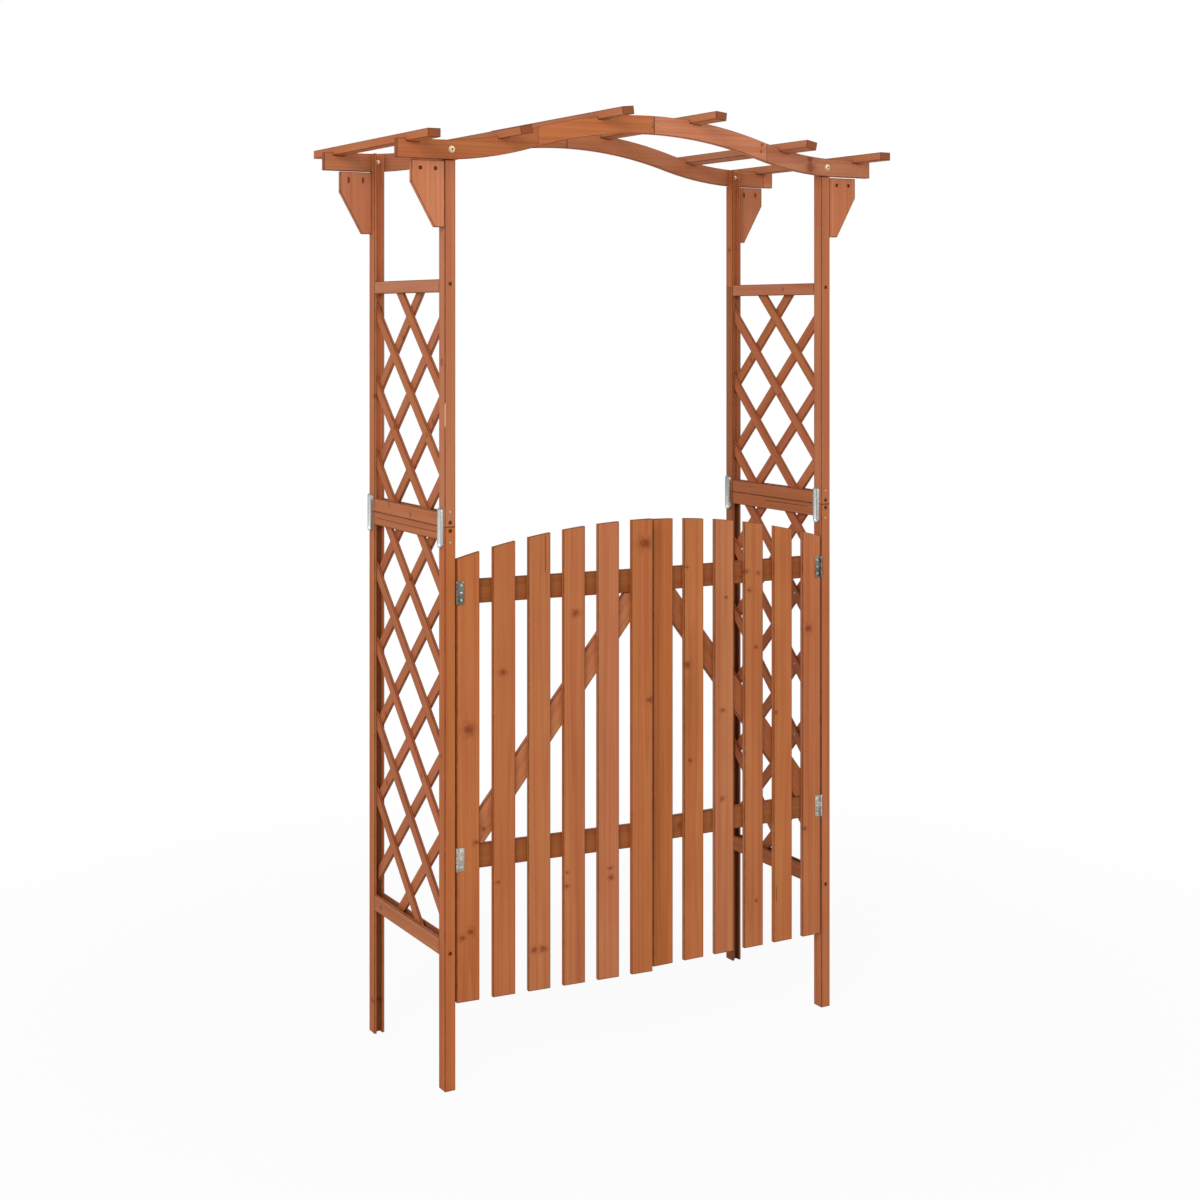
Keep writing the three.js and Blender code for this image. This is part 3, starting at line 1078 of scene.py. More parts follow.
@dataclass
class GrainMarker:
    """Writes a board's grain, tone, knots and cut faces into its mesh."""

    longest_log: float = 9.0
    pith_near: float = 0.02
    pith_far: float = 0.11
    own_knots: float = 0.55
    chance: float = 0.5
    tenth_of_colour: float = 10 / 3
    groove_margin: float = 2.5 * MM

    def random_knots(self, dice: random.Random, start: float, length: float,
                     width: float) -> list[Knot]:
        """Throw a few small knots on a board that has none of its own.

        Args:
            dice: The board's own random numbers.
            start: Where the board starts.
            length: The board's length.
            width: The board's width.

        Returns:
            The knots, perhaps none.
        """
        thrown = []
        for _ in range(KNOTS_PER_BOARD):
            along, across = dice.uniform(0.04, 0.96) * length, dice.uniform(-0.42, 0.42) * width
            radius = dice.uniform(0.07, 0.13) * min(width, 0.05) + 0.8 * MM
            if dice.random() < self.own_knots * min(length, 1.0) / 2:
                thrown.append(Knot(start + along, across, radius))
        return thrown

    def flaws(self, character: Character, own_knots: Sequence[Knot], shift: float,
              middle: float) -> dict[str, Sequence[float]]:
        """List a board's knots, dark line and glued joint as its finish reads them.

        Args:
            character: What sets the board apart.
            own_knots: Its knots.
            shift: From a place along the model to one along the grain.
            middle: The middle line's place across the grain.

        Returns:
            The attributes by name. Those that the board lacks are far away from it.
        """
        nowhere = (FAR_AWAY, FAR_AWAY, 1.0)
        values = {f"knot_{number}": nowhere for number in range(1, KNOTS_PER_BOARD + 1)}
        for name, knot in zip(list(values), own_knots):
            values[name] = (knot.along + shift, knot.across + middle, knot.radius)
        streak = character.streak or Streak(FAR_AWAY, FAR_AWAY, 0.0)
        seam = character.seam or Seam(FAR_AWAY, 0.0)
        values["streak"] = (streak.along + shift, streak.across + middle, streak.half_length)
        values["seam"] = (seam.along + shift, seam.shade, 0.0)
        return values

    def cuts(self, mesh: bpy.types.Mesh, heading: Heading, low: Vector, high: Vector,
             groove_stain: float, holes: Sequence[Hole]) -> list[Point]:
        """Tell how far each face is end grain or eased, or painted shade inside a groove or a hole.

        Args:
            mesh: The board's mesh, with its eased faces on the second material index.
            heading: The board's heading.
            low: The board's lowest corner along its heading.
            high: The board's highest corner along its heading.
            groove_stain: How much painted shade the faces inside its section get, or painted light if
                negative.
            holes: Its drilled holes.

        Returns:
            The three numbers of each face.
        """
        margin, rows = self.groove_margin, []
        for polygon in mesh.polygons:
            end = 1.0 if abs(polygon.normal.dot(heading.along)) > 0.8 else 0.0
            centre = heading.read(polygon.center)
            inside = all(low[i] + margin < centre[i] < high[i] - margin for i in (1, 2))
            drilled = any(hole.holds(polygon.center) for hole in holes)
            # Painted shade in holes and grooves, or painted light where the value is negative.
            painted_recess_shade = 1.0 if drilled else groove_stain if inside else 0.0
            rows.append((end, float(polygon.material_index), painted_recess_shade))
        return rows

    def mark(self, piece: bpy.types.Object, heading: Heading, name: str, groove_stain: float = 0.0,
             holes: Sequence[Hole] = ()) -> None:
        """Write the attributes of one board into its whole mesh.

        Args:
            piece: The board, with its eased faces on the second material index.
            heading: Its heading.
            name: The board's name, which its character and its random numbers come from.
            groove_stain: How much painted shade the faces inside its section get, or painted light if
                negative.
            holes: Its drilled holes.
        """
        dice = random.Random(name)
        character = CHARACTERS.get(name, Character())
        mesh = piece.data
        places = [heading.read(v.co) for v in mesh.vertices]
        low, high = (Vector([pick(p[i] for p in places) for i in range(3)]) for pick in (min, max))
        start = Vector((low[0], (low[1] + high[1]) / 2, (low[2] + high[2]) / 2))
        pith = Vector((
            dice.uniform(0, self.longest_log),
            dice.choice((-1, 1)) * dice.uniform(0, self.pith_near),
            dice.choice((-1, 1)) * dice.uniform(self.pith_near, self.pith_far),
        ))
        shade, hue, saturation = [self.chance * dice.uniform(-1, 1) for _ in range(3)]
        own_knots = character.knots
        if own_knots is None:
            own_knots = self.random_knots(dice, low[0], high[0] - low[0], high[1] - low[1])
        values = self.flaws(character, own_knots, pith[0] - start[0], pith[1])
        values["tone"] = (shade + character.shade, hue,
                          saturation - character.paleness * self.tenth_of_colour)
        values["low"], values["high"] = low - start + pith, high - start + pith
        chip = character.chip or Chip(FAR_AWAY, 0.0, (1, 1))
        edge = [high[i] if sign > 0 else low[i] for i, sign in zip((1, 2), chip.corner)]
        values["chip"] = Vector((chip.along, *edge)) - start + pith
        values["chip_length"] = (chip.half_length, 0.0, 0.0)
        write(mesh, "grain", "POINT", [place - start + pith for place in places])
        for key, value in values.items():
            write(mesh, key, "POINT", [value] * len(places))
        write(mesh, "cut", "FACE", self.cuts(mesh, heading, low, high, groove_stain, holes))
        for polygon in mesh.polygons:
            polygon.material_index = 0


@dataclass
class Board:
    """One timber of the arch, made from a copy of its solid."""

    node: str
    body: str
    slot: Slot
    arris: float = 1.0 * MM
    weld: float = 0.8 * MM
    # Painted shade inside the board's grooves, or painted light if negative.
    groove_stain: float = 0.0
    holes: Sequence[Hole] = ()
    heading: Heading | None = None

    def drill(self, board: bpy.types.Object) -> None:
        """Drill the board's holes.

        Args:
            board: The board to drill.
        """
        cutters = []
        for hole in self.holes:
            drill = add_rod("drill", hole.radius, -hole.depth, hole.depth, 16)
            drill.data.transform(hole.place())
            cutters.append(drill)
        subtract(board, cutters)

    def build(self, shop: Workshop) -> None:
        """Make the board, dress it and let it stand for its solid.

        Args:
            shop: What it is made with.
        """
        board = copy_solid(shop.frame, self.node, self.node + "_timber", self.weld)
        heading = self.heading or Heading.of(board)
        self.drill(board)
        ease(board, self.arris, 3, mark=True)
        shop.marker.mark(board, heading, self.node, self.groove_stain, self.holes)
        smooth(board, 6)
        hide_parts(self.node)
        hand_over(board, shop.finishes.timber[self.slot], self.body)


# ---- Fasteners --------------------------------------------------------------------------


class Head(Enum):
    """The kinds of small fasteners."""

    SCREW = "screw"
    SMALL_SCREW = "small_screw"
    NAIL = "nail"


@dataclass
class FastenerBox:
    """Patterns of screws and nails, each modelled once and copied."""

    screw_radius: float = 3.4 * MM
    screw_rise: float = 0.7 * MM
    small_screw_radius: float = 2.3 * MM
    nail_radius: float = 1.8 * MM
    recess_reach: float = 0.62
    recess_width: float = 0.2
    patterns: dict[Head, bpy.types.Object] = field(default_factory=dict)

    def cross_head(self, kind: Head, radius: float) -> bpy.types.Object:
        """Model a low domed head with a cross recess, looking up from the ground.

        Args:
            kind: The kind of screw.
            radius: The head's radius.

        Returns:
            The pattern.
        """
        rise = self.screw_rise
        head = add_rod(kind.value + "_pattern", radius, -rise, rise * 0.45, 16)

        def dome() -> None:
            """Draw the top in to a low dome."""
            bpy.ops.mesh.inset(thickness=radius * 0.16, depth=rise * 0.35)
            bpy.ops.mesh.inset(thickness=radius * 0.3, depth=rise * 0.2)

        edit(head, dome, "polygons", lambda polygon: polygon.normal.z > 0.9)
        reach, width = 2 * radius * self.recess_reach, radius * self.recess_width
        subtract(head, [add_block("recess", (0, 0, rise), (*arm, rise * 1.6))
                        for arm in ((reach, width), (width, reach))])
        smooth(head)
        return head

    def nail_head(self) -> bpy.types.Object:
        """Model a small flat nail head with a turned edge.

        Returns:
            The pattern.
        """
        head = add_rod("nail_pattern", self.nail_radius, -0.4 * MM, 0.25 * MM, 10)
        ease(head, 0.12 * MM, 1)
        return head

    def prepare(self) -> None:
        """Model every pattern."""
        self.patterns[Head.SCREW] = self.cross_head(Head.SCREW, self.screw_radius)
        self.patterns[Head.SMALL_SCREW] = self.cross_head(Head.SMALL_SCREW, self.small_screw_radius)
        self.patterns[Head.NAIL] = self.nail_head()

    def drive(self, name: str, kind: Head, seats: Iterable[Seat], material: bpy.types.Material,
              body: str) -> None:
        """Drive a row of fasteners and keep them as one piece.

        Args:
            name: The name of the piece.
            kind: Which fastener.
            seats: Each head's place and its turn from looking up.
            material: The finish.
            body: The body that they ride on.
        """
        heads = []
        for number, (point, turn) in enumerate(seats):
            slew = Matrix.Rotation(math.radians(37 * number + 11 * len(name)), 4, "Z")
            place = Matrix.Translation(point) @ turn @ slew
            heads.append(copy_to(self.patterns[kind], f"{name}_{number + 1}", place))
        hand_over(join_as(name, heads), material, body)

    def clear(self) -> None:
        """Throw the patterns away."""
        for pattern in self.patterns.values():
            throw_away(pattern)
        self.patterns.clear()


def facing(way: Way, points: Iterable[Sequence[float]]) -> list[Seat]:
    """Seats of fasteners that all look one way."""
    return [(point, way.turn()) for point in points]


@dataclass(frozen=True)
class Workshop:
    """What every piece is made with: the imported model, the finishes, the grain, the fasteners."""

    frame: dict
    finishes: Finishes
    marker: GrainMarker
    box: FastenerBox


# ---- Side panels ------------------------------------------------------------------------


@dataclass
class Lattice:
    """Two crossed layers of laths between two rails of a side panel.

    The rise is half the height of a diamond, and the crossing is the height of one crossing in
    the middle of the panel. Low and high are the heights of the opening.
    """

    side: Side
    level: Level
    middle_x: float
    inner_y: float
    low: float
    high: float
    rise: float
    crossing: float
    lath_width: float = 25 * MM
    lath_thickness: float = 6 * MM
    tongue: float = 8 * MM
    arris: float = 0.8 * MM
    half_columns: float = 2.0
    shortest_lath: float = 90 * MM
    most_rows: int = 9
    body: str = "arch"

    def length_inside(self, middle: float, slope: float) -> float:
        """How long a lath's middle line is inside the opening.

        Args:
            middle: The height of the line in the middle of the panel.
            slope: Its rise for each metre towards the rear.

        Returns:
            The length, negative where it misses the opening.
        """
        ends = sorted(((self.low - middle) / slope, (self.high - middle) / slope))
        inside = min(ends[1], self.inner_y) - max(ends[0], -self.inner_y)
        return inside * math.hypot(1, slope)

    def build_lath(self, name: str, x: float, middle: float, slope: float) -> bpy.types.Object:
        """Make a leaning lath, sawn off where it ends in the grooves of the posts and rails.

        Args:
            name: The name of the lath.
            x: The middle of its thickness.
            middle: The height of its middle line in the middle of the panel.
            slope: Its rise for each metre towards the rear.

        Returns:
            The lath.
        """
        reach = self.inner_y + self.tongue + self.lath_width
        upright_width = self.lath_width * math.hypot(1, slope)
        lath = add_block(name, (x, 0, middle), (self.lath_thickness, 2 * reach, upright_width))
        for sign in (-1, 1):
            climb = (0, 0, sign * slope * reach)
            edit(lath, lambda: bpy.ops.transform.translate(value=climb),
                 "vertices", lambda vertex: vertex.co.y * sign > 0)
        side, top, foot = self.inner_y + self.tongue, self.high + self.tongue, self.low - self.tongue
        for place, outwards in (
            ((0, side, 0), (0, 1, 0)),
            ((0, -side, 0), (0, -1, 0)),
            ((0, 0, top), (0, 0, 1)),
            ((0, 0, foot), (0, 0, -1)),
        ):
            edit(lath, lambda: bpy.ops.mesh.bisect(
                plane_co=place, plane_no=outwards, use_fill=True, clear_outer=True))
        ease(lath, self.arris, 2, mark=True)
        return lath

    def build_layer(self, lean: int, shop: Workshop) -> None:
        """Make the parallel laths of one layer.

        Args:
            lean: 1 where the laths climb to the rear, and else -1.
            shop: What they are made with.
        """
        stem = f"{self.side.word}_{self.level.word}"
        name = f"{stem}_{'outer' if lean * self.side.value < 0 else 'inner'}_laths"
        slope = lean * self.rise * self.half_columns / self.inner_y
        heading = Heading.towards(Vector((0, 1, slope)).normalized(), Vector((1, 0, 0)))
        x = self.middle_x - lean * self.lath_thickness / 2
        laths = []
        for row in range(-self.most_rows, self.most_rows + 1):
            middle = self.crossing + 2 * row * self.rise
            if self.length_inside(middle, slope) >= self.shortest_lath:
                lath = self.build_lath(f"{name}_{row}", x, middle, slope)
                shop.marker.mark(lath, heading, lath.name)
                laths.append(lath)
        layer = join_as(name, laths)
        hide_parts(f"{stem}_lattice")
        hand_over(layer, shop.finishes.timber[Slot.LATH], self.body)

    def nail_front_column(self, shop: Workshop) -> None:
        """Nail the front crossings from the inner side.

        Args:
            shop: What they are nailed with.
        """
        x = self.middle_x - self.side.value * self.lath_thickness
        y = -self.inner_y / self.half_columns
        heights = [self.crossing + step * self.rise for step in range(1, 2 * self.most_rows + 2, 2)]
        points = [(x, y, z) for z in heights if z < self.high - self.lath_width]
        shop.box.drive(f"{self.side.word}_lath_nails", Head.NAIL, facing(self.side.inward, points),
                       shop.finishes.brass, self.body)


@dataclass
class SidePanel:
    """A side of the arch: grooved posts, rails, two lattices and their fixings."""

    side: Side
    upper_crossing_drop: float
    outer_x: float = 490 * MM
    stock_width: float = 24 * MM
    outer_y: float = 197 * MM
    inner_y: float = 168 * MM
    joint_height: float = 1160 * MM
    upper_rise: float = 82.4 * MM
    lower_rise: float = 83.1 * MM
    lower_crossing_rise: float = 49.3 * MM
    # Painted shade inside the grooves of the lower posts and the rails, and painted light inside those of
    # the upper posts.
    lower_groove_stain: float = 0.8
    upper_groove_stain: float = -0.42
    rail_groove_stain: float = 0.5
    plate_length: float = 82 * MM
    plate_width: float = 18 * MM
    plate_thickness: float = 1.6 * MM
    plate_corner: float = 7 * MM
    plate_drop: float = 2 * MM
    plate_screw_shares: Sequence[float] = (-0.38, -0.16, 0.16, 0.38)
    counterbore: float = 3.4 * MM
    rail_screw_depth: float = 2.2 * MM
    rail_screw_heights: Sequence[float] = (1660 * MM, 1169 * MM, 1152 * MM, 283 * MM)
    nail_heights: Sequence[float] = (1191 * MM, 1128 * MM)
    body: str = "arch"

    @property
    def middle_x(self) -> float:
        """The middle of the panel's thickness."""
        return self.side.value * (self.outer_x - self.stock_width / 2)

    def build_posts(self, shop: Workshop) -> None:
        """Make the four post lengths, with their counterbored holes for the rail screws.

        Args:
            shop: What they are made with.
        """
        # Painted shade inside the lower posts' grooves, and painted light inside the upper posts'
        # grooves.
        stains = {Level.LOWER: self.lower_groove_stain, Level.UPPER: self.upper_groove_stain}
        for face in Face:
            for level, stain in stains.items():
                holes = [
                    Hole((self.middle_x, face.value * self.outer_y, z), face.way, self.counterbore)
                    for z in self.rail_screw_heights
                    if (z > self.joint_height) == (level is Level.UPPER)
                ]
                Board(f"{face.word}_{self.side.word}_{level.word}_post", self.body, Slot.FRAME,
                      holes=holes, groove_stain=stain).build(shop)

    def build_rails(self, shop: Workshop) -> None:
        """Make the four rails.

        Args:
            shop: What they are made with.
        """
        for rail in ("bottom_rail", "lower_middle_rail", "upper_middle_rail", "top_rail"):
            Board(f"{self.side.word}_{rail}", self.body, Slot.FRAME,
                  groove_stain=self.rail_groove_stain).build(shop)

    def lattice(self, level: Level) -> Lattice:
        """Plan the lattice between two rails.

        Args:
            level: Which half of the panel.

        Returns:
            The lattice.
        """
        word = self.side.word
        if level is Level.LOWER:
            low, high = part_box(f"{word}_bottom_rail")[1].z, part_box(f"{word}_lower_middle_rail")[0].z
            rise, crossing = self.lower_rise, low + self.lower_crossing_rise
        else:
            low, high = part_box(f"{word}_upper_middle_rail")[1].z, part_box(f"{word}_top_rail")[0].z
            rise, crossing = self.upper_rise, high - self.upper_crossing_drop
        return Lattice(self.side, level, self.middle_x, self.inner_y, low, high, rise, crossing)

    def build_plates(self, shop: Workshop) -> None:
        """Make the mending plates over the post joints, with their screws.

        Args:
            shop: What they are made with.
        """
        left_x = self.middle_x - self.stock_width / 2
        z = self.joint_height - self.plate_drop
        zinc = shop.finishes.zinc
        for face in Face:
            name = f"{face.word}_{self.side.word}_mending_plate"
            y = face.value * (self.outer_y + self.inner_y) / 2
            plate = add_block(name, (left_x - self.plate_thickness / 2, y, z),
                              (self.plate_thickness, self.plate_width, self.plate_length))
            self.round_corners(plate)
            ease(plate, 0.35 * MM, 2)
            smooth(plate)
            hand_over(plate, zinc, self.body)
            points = [(left_x - self.plate_thickness, y, z + share * self.plate_length)
                      for share in self.plate_screw_shares]
            shop.box.drive(name + "_screws", Head.SCREW, facing(Way.LEFT, points), zinc, self.body)

    def round_corners(self, plate: bpy.types.Object) -> None:
        """Round the four corners of a mending plate.

        Args:
            plate: The plate, still a plain block.
        """

        def goes_through(edge: bpy.types.MeshEdge) -> bool:
            """Tell whether an edge runs through the plate's thickness.

            Args:
                edge: An edge of the plate.

            Returns:
                Whether it does.
            """
            first, second = (plate.data.vertices[number].co for number in edge.vertices)
            run = second - first
            return abs(run.x) > abs(run.y) + abs(run.z)

        edit(plate, lambda: bpy.ops.mesh.bevel(offset=self.plate_corner, segments=6, affect="EDGES"),
             "edges", goes_through)

    def drive_screws(self, shop: Workshop) -> None:
        """Drive the screws and nails that hold the rails.

        Args:
            shop: What they are driven with.
        """
        for face in Face:
            stem = f"{face.word}_{self.side.word}"
            for word, kind, depth, heights, finish in (
                ("screws", Head.SMALL_SCREW, self.rail_screw_depth, self.rail_screw_heights,
                 shop.finishes.dark_screw),
                ("nails", Head.NAIL, 0.0, self.nail_heights, shop.finishes.zinc),
            ):
                points = [(self.middle_x, face.value * (self.outer_y - depth), z) for z in heights]
                shop.box.drive(f"{stem}_rail_{word}", kind, facing(face.way, points), finish, self.body)

    def build(self, shop: Workshop) -> None:
        """Make the whole panel.

        Args:
            shop: What it is made with.
        """
        self.build_posts(shop)
        self.build_rails(shop)
        for level in Level:
            for lean in (1, -1):
                self.lattice(level).build_layer(lean, shop)
        self.build_plates(shop)
        self.drive_screws(shop)
        self.lattice(Level.LOWER).nail_front_column(shop)


# ---- Roof -------------------------------------------------------------------------------


@dataclass(frozen=True)
class TurnedPart:
    """A part of a bolt: its radius, its ends, its flats, and how far its edges are taken back."""

    name: str
    radius: float
    low: float
    high: float
    sides: int
    arris: float
    facets: int = 2

    def build(self) -> bpy.types.Object:
        """Make the part.

        Returns:
            The part, upright on the Z axis.
        """
        part = add_rod(self.name, self.radius, self.low, self.high, self.sides)
        ease(part, self.arris, self.facets)
        return part


@dataclass
class Roof:
    """The serpentine beams, the rafters, the corner brackets and their fixings."""

    post_middle_x: float = 478 * MM
    beam_face_y: float = 204 * MM
    bolt_height: float = 1936 * MM
    groove_floor_y: float = 180 * MM
    bracket_face_y: float = 196 * MM
    bracket_top: float = 1913 * MM
    bracket_thickness: float = 12 * MM
    bracket_screw_drop: float = 16.5 * MM
    bracket_screw_runs: Sequence[float] = (20.5 * MM, 54.5 * MM)
    bracket_screw_depth: float = 2.8 * MM
    bracket_counterbore: float = 3.5 * MM
    pocket_radius: float = 2.1 * MM
    pocket_depth: float = 15 * MM
    pocket_drop: float = 19 * MM
    pocket_rise: float = 71.0
    post_outer_x: float = 490 * MM
    lap_nail_runs: Sequence[float] = (5.5 * MM, 17.5 * MM)
    lap_nail_heights: Sequence[float] = (2016 * MM, 2006 * MM)
    socket_radius: float = 2.8 * MM
    rafters: int = 6
    body: str = "arch"

    def build_boards(self, shop: Workshop) -> None:
        """Make the beams, the rafters and the brackets.

        Args:
            shop: What they are made with.
        """
        level = Heading.towards(Vector((1, 0, 0)), Vector((0, 1, 0)))
        for face in Face:
            for side in Side:
                Board(f"{face.word}_beam_{side.word}_half", self.body, Slot.ROOF,
                      heading=level).build(shop)
                Board(f"{face.word}_{side.word}_bracket", self.body, Slot.ROOF,
                      holes=self.bracket_holes(face, side)).build(shop)
        for number in range(1, self.rafters + 1):
            Board(f"rafter_{number}", self.body, Slot.ROOF).build(shop)

    def bracket_seats(self, face: Face, side: Side, depth: float) -> list[Point]:
        """The places of a bracket's screws, at a depth under its face.

        Args:
            face: The bracket's face of the arch.
            side: The bracket's side.
            depth: How deep under the bracket's face.

        Returns:
            The places.
        """
        y, z = face.value * (self.bracket_face_y - depth), self.bracket_top - self.bracket_screw_drop
        return [(side.value * (self.post_outer_x + run), y, z) for run in self.bracket_screw_runs]

    def bracket_holes(self, face: Face, side: Side) -> list[Hole]:
        """Plan a bracket's holes: counterbored in front, and slanted pockets at the rear.

        Args:
            face: The bracket's face of the arch.
            side: The bracket's side.

        Returns:
            The holes.
        """
        if face is Face.FRONT:
            seats = self.bracket_seats(face, side, 0)
            return [Hole(seat, Way.FRONT, self.bracket_counterbore) for seat in seats]
        drop = Vector((0, 0, self.bracket_screw_drop - self.pocket_drop))
        seats = self.bracket_seats(face, side, self.bracket_thickness)
        return [Hole(Vector(seat) + drop, Way.FRONT, self.pocket_radius, self.pocket_depth,
                     self.pocket_rise) for seat in seats]

    def build_fixings(self, shop: Workshop) -> None:
        """Make the bolts with their nuts, and drive the nails and the brackets' screws.

        Args:
            shop: What they are made with.
        """
        finishes, box = shop.finishes, shop.box
        bolt, socket = self.bolt_pattern(), self.socket_pattern()
        for face in Face:
            face_y = face.value * self.beam_face_y
            for side in Side:
                seat = (side.value * self.post_middle_x, face_y, self.bolt_height)
                place = Matrix.Translation(seat) @ face.way.turn()
                for pattern, word, finish in (
                    (bolt, "bolt", finishes.brass),
                    # The socket's dark disc is painted shade.
                    (socket, "bolt_socket", finishes.dark_screw),
                ):
                    piece = copy_to(pattern, f"{face.word}_{side.word}_{word}", place)
                    hand_over(piece, finish, self.body)
            for run, finish in zip(self.lap_nail_runs, (finishes.dark_screw, finishes.hinge)):
                nails = facing(face.way, [(face.value * -run, face_y, z) for z in self.lap_nail_heights])
                box.drive(f"{face.word}_lap_nails_{round(run / MM)}", Head.NAIL, nails, finish, self.body)
        for side in Side:
            seats = self.bracket_seats(Face.FRONT, side, self.bracket_screw_depth)
            box.drive(f"front_{side.word}_bracket_screws", Head.SMALL_SCREW, facing(Way.FRONT, seats),
                      finishes.dark_screw, self.body)
        throw_away(bolt)
        throw_away(socket)

    def bolt_pattern(self) -> bpy.types.Object:
        """Model a domed bolt with a socket, its washer, its end and its nut.

        Returns:
            The pattern, with the bolt's head looking up from the ground.
        """
        grip = self.beam_face_y - self.groove_floor_y
        parts = [part.build() for part in (
            TurnedPart("bolt_head", 6 * MM, 0.6 * MM, 3.4 * MM, 24, 1.1 * MM, 3),
            TurnedPart("bolt_washer", 7.4 * MM, -0.3 * MM, 0.9 * MM, 28, 0.3 * MM),
            TurnedPart("bolt_end", 2.9 * MM, -grip - 9 * MM, -grip + 6 * MM, 20, 0.6 * MM),
            TurnedPart("bolt_nut", 5.6 * MM, -grip - 5.5 * MM, -grip - 0.2 * MM, 6, 0.5 * MM),
        )]
        subtract(parts[0], [add_rod("socket", self.socket_radius, 1.4 * MM, 4 * MM, 6)])
        bolt = join_as("bolt_pattern", parts)
        smooth(bolt)
        return bolt

    def socket_pattern(self) -> bpy.types.Object:
        """Model a dark disc at the bottom of a bolt's socket, with a dent in it, as painted shade.

        Returns:
            The pattern, looking up from the ground.
        """
        bottom = add_rod("bolt_socket", self.socket_radius - 0.05 * MM, 1.2 * MM, 1.7 * MM, 6)
        subtract(bottom, [add_rod("dent", 0.5 * self.socket_radius, 1.5 * MM, 2 * MM, 12)])
        return bottom

    def build(self, shop: Workshop) -> None:
        """Make the whole roof.

        Args:
            shop: What it is made with.
        """
        self.build_boards(shop)
        self.build_fixings(shop)


# ---- Gate -------------------------------------------------------------------------------


@dataclass
class GateLeaf:
    """One leaf of the gate with its slats, ledges, brace, hinges and screws."""

    side: Side
    ajar: float
    slats: int = 6
    leaf_width: float = 451 * MM
    slat_width: float = 50 * MM
    arris: float = 0.8 * MM
    hinge_edge: float = 463 * MM
    hinge_axis: tuple[float, float] = (463.6 * MM, -199.7 * MM)
    front_y: float = -197 * MM
    rear_y: float = -174.7 * MM
    screw_offset: float = 11 * MM
    hinge_screw_run: float = 10.2 * MM
    hinge_screw_pitch: float = 15.5 * MM
    gate_screw_rise: float = 1.5 * MM
    post_screw_x: float = 464.7 * MM

    @property
    def body(self) -> str:
        """The body that the leaf moves with."""
        return self.side.word + "_leaf"

    def ledge_height(self, level: Level) -> float:
        """The height of the middle of the lower or the upper ledge."""
        low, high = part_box(f"{self.side.word}_{level.word}_ledge")
        return (low.z + high.z) / 2

    def hang(self, point: Point, way: Way) -> Seat:
        """Seat a fastener on the leaf as it hangs at rest.

        Args:
            point: The head's place on the closed leaf.
            way: The way that the head looks on the closed leaf.

        Returns:
            The seat.
        """
        pivot = Vector((self.side.value * self.hinge_axis[0], self.hinge_axis[1], 0))
        spin = Matrix.Rotation(self.side.value * math.radians(self.ajar), 4, "Z")
        return pivot + spin @ (Vector(point) - pivot), spin @ way.turn()

    def build_boards(self, shop: Workshop) -> None:
        """Make the slats, the ledges and the brace.

        Args:
            shop: What they are made with.
        """
        slats = [f"slat_{number}" for number in range(1, self.slats + 1)]
        for part in (*slats, "lower_ledge", "upper_ledge", "brace"):
            Board(f"{self.side.word}_{part}", self.body, Slot.GATE, arris=self.arris).build(shop)

    def build_hinge(self, level: Level, shop: Workshop) -> None:
        """Dress a hinge and drive its screws.

        Args:
            level: Which of the leaf's two hinges.
            shop: What it is made with.
        """
        finishes = shop.finishes
        stem = f"{self.side.word}_{level.word}_hinge"
        for node, body in ((stem + "_post_leaf", "arch"), (stem + "_gate_leaf", self.body)):
            plate = copy_solid(shop.frame, node, node + "_steel", SAME_PLACE)
            ease(plate, 0.2 * MM, 2)
            smooth(plate)
            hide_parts(node)
            # The lower hinges get the copy with the painted highlight, the upper ones the darker copy
            # with painted shade.
            finish = finishes.bright_hinge if level is Level.LOWER else finishes.hinge
            hand_over(plate, finish, body)
        middle = self.ledge_height(level)
        heights = [middle + step * self.hinge_screw_pitch for step in (-1, 0, 1)]
        x = self.side.value * (self.hinge_axis[0] - self.hinge_screw_run)
        y = self.front_y - self.gate_screw_rise
        seats = [self.hang((x, y, z), Way.FRONT) for z in heights]
        shop.box.drive(stem + "_gate_screws", Head.SMALL_SCREW, seats, finishes.zinc, self.body)
        x, y = self.side.value * self.post_screw_x, self.hinge_axis[1] + self.hinge_screw_run
        seats = facing(self.side.inward, [(x, y, z) for z in heights])
        shop.box.drive(stem + "_post_screws", Head.SMALL_SCREW, seats, finishes.zinc, "arch")

    def drive_screws(self, shop: Workshop) -> None:
        """Drive the screws that hold the ledges to the slats, from the rear.

        Args:
            shop: What they are driven with.
        """
        pitch = (self.leaf_width - self.slat_width) / (self.slats - 1)
        seats = []
        for number in range(self.slats):
            middle = self.hinge_edge - number * pitch - self.slat_width / 2
            for level in Level:
                for offset in (-self.screw_offset, self.screw_offset):
                    point = (self.side.value * (middle + offset), self.rear_y,
                             self.ledge_height(level) - offset)
                    seats.append(self.hang(point, Way.REAR))
        shop.box.drive(f"{self.side.word}_ledge_screws", Head.SMALL_SCREW, seats,
                       shop.finishes.brass, self.body)

    def build(self, shop: Workshop) -> None:
        """Make the whole leaf.

        Args:
            shop: What it is made with.
        """
        self.build_boards(shop)
        for level in Level:
            self.build_hinge(level, shop)
        self.drive_screws(shop)


# ---- Studio -----------------------------------------------------------------------------


@dataclass(frozen=True)
class Lamp:
    """A soft lamp: where it stands, its size and its power."""

    name: str
    place: Point
    size: float
    power: float


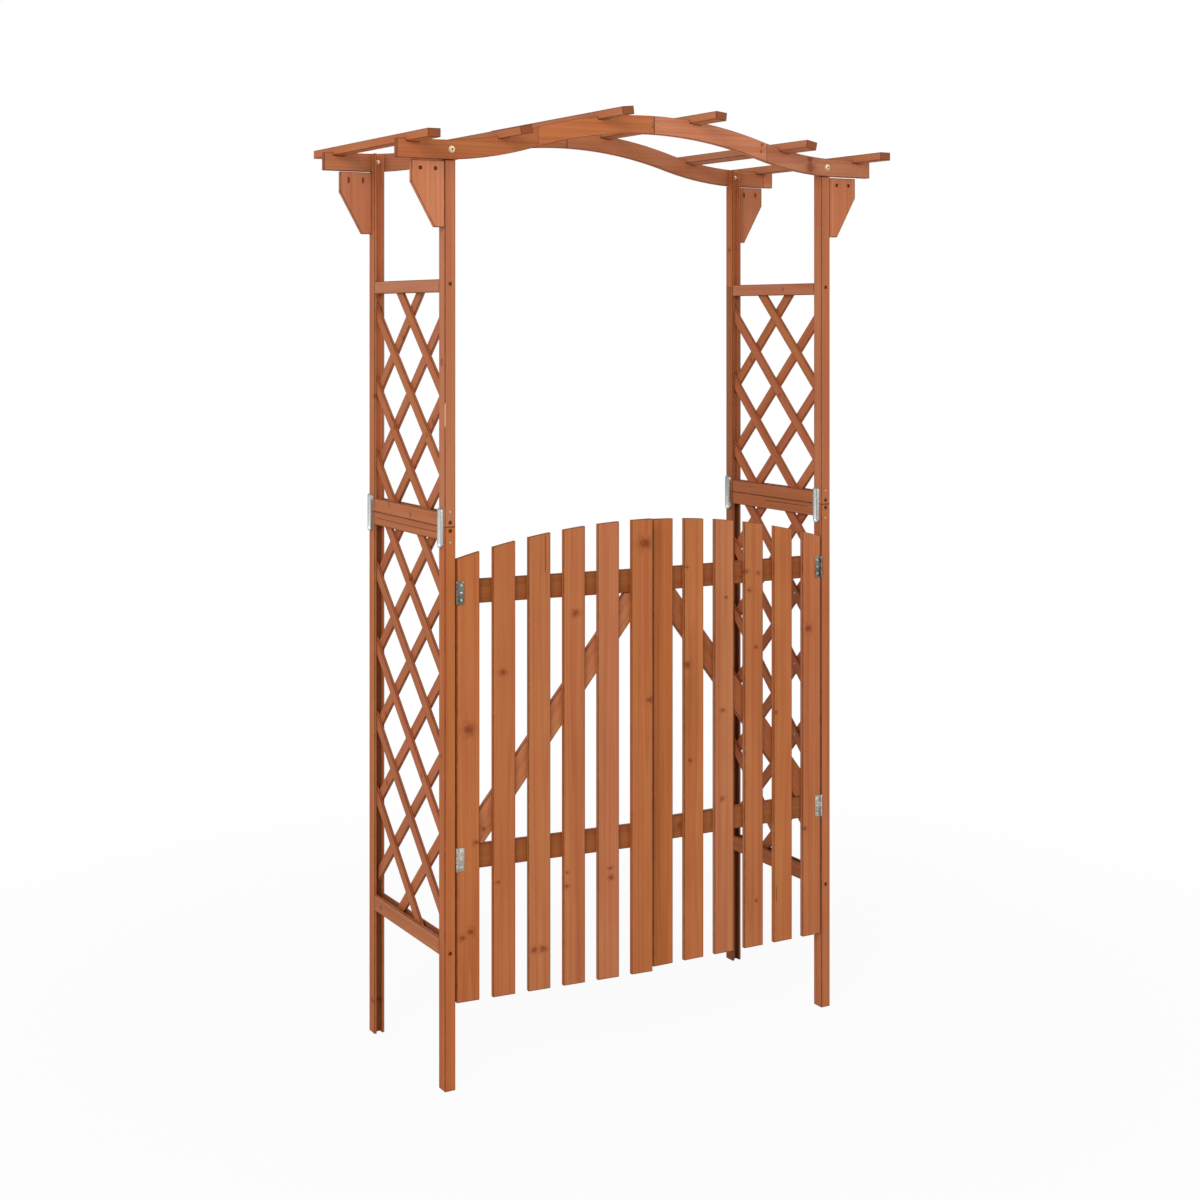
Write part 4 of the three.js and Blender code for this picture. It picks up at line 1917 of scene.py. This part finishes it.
@dataclass
class Studio:
    """The floor, the light and the camera."""

    camera_place: Point = (-2.155, -3.7244, 1.5939)
    camera_yaw: float = -29.948
    lens: float = 56.83
    sensor: float = 36.0
    drop: float = -0.2367
    aim: Point = (0.0, 0.0, 1.0)
    floor_size: float = 40.0
    floor_grey: float = 0.92
    floor_white: float = 0.93
    shadow_reach: tuple[float, float] = (0.8, 2.6)
    sky: float = 0.5
    lamps: Sequence[Lamp] = (
        Lamp("key", (-4.6, -4.1, 3.8), 3.0, 175),
        Lamp("fill", (2.6, -5.2, 3.0), 3.0, 30),
    )

    def build_camera(self) -> None:
        """Stand the camera where the photograph was taken."""
        camera = bpy.data.cameras.new("camera")
        camera.lens, camera.sensor_width, camera.shift_y = self.lens, self.sensor, self.drop
        stand = link_new("camera", camera)
        stand.location = self.camera_place
        stand.rotation_euler = (math.radians(90), 0, math.radians(self.camera_yaw))
        bpy.context.scene.camera = stand

    def build_lamps(self) -> None:
        """Hang the lamps, all looking at the arch."""
        for lamp in self.lamps:
            light = bpy.data.lights.new(lamp.name, "AREA")
            light.energy, light.size = lamp.power, lamp.size
            stand = link_new(lamp.name, light)
            stand.location = lamp.place
            look = Vector(self.aim) - Vector(lamp.place)
            stand.rotation_euler = look.to_track_quat("-Z", "Y").to_euler()

    def build_world(self) -> None:
        """Light the room softly and show it white to the camera."""
        world = bpy.data.worlds.new("room")
        bpy.context.scene.world = world
        sketch = Sketch(world)
        seen = sketch.add("LightPath", output="Is Camera Ray")
        glossy = sketch.add("LightPath", output="Is Glossy Ray")
        soft = sketch.add("Background", {"Color": opaque((1, 1, 1)), "Strength": self.sky})
        white = sketch.add("Background", {"Color": opaque((1, 1, 1)), "Strength": 1.0})
        sketch.show("World", sketch.add("MixShader", {0: seen.most(glossy), 1: soft, 2: white}))

    def build_floor(self) -> None:
        """Lay a pale floor that keeps the arch's shadow."""
        bpy.ops.object.select_all(action="DESELECT")
        bpy.ops.mesh.primitive_plane_add(size=self.floor_size)
        floor = settle(bpy.context.object, "floor")
        material = bpy.data.materials.new("pale_floor")
        sketch = Sketch(material)
        matt = sketch.add("BsdfDiffuse", {"Color": opaque((self.floor_grey,) * 3)})
        white = sketch.add("Emission", {"Color": opaque((1, 1, 1)), "Strength": 1.0})
        away = sketch.add("TexCoord", output="Object").length()
        plain = away.between(*self.shadow_reach, self.floor_white, 1, soft=True)
        share = sketch.add("LightPath", output="Is Camera Ray") * plain
        sketch.show("Material", sketch.add("MixShader", {0: share, 1: matt, 2: white}))
        floor.data.materials.append(material)

    def build(self) -> None:
        """Set the whole studio up."""
        bpy.context.scene.view_settings.view_transform = "Standard"
        self.build_camera()
        self.build_lamps()
        self.build_world()
        self.build_floor()


def main() -> None:
    """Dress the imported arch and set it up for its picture."""
    logging.basicConfig(level=logging.INFO, format="%(message)s")
    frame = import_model()
    Studio().build()
    shop = Workshop(frame, Finishes(), GrainMarker(), FastenerBox())
    shop.box.prepare()
    for side, upper_crossing_drop in ((Side.LEFT, 44 * MM), (Side.RIGHT, 49 * MM)):
        SidePanel(side, upper_crossing_drop).build(shop)
    Roof().build(shop)
    for side, ajar in ((Side.LEFT, 4.8), (Side.RIGHT, 0.0)):
        GateLeaf(side, ajar).build(shop)
    shop.box.clear()


if __name__ == "__main__":
    main()
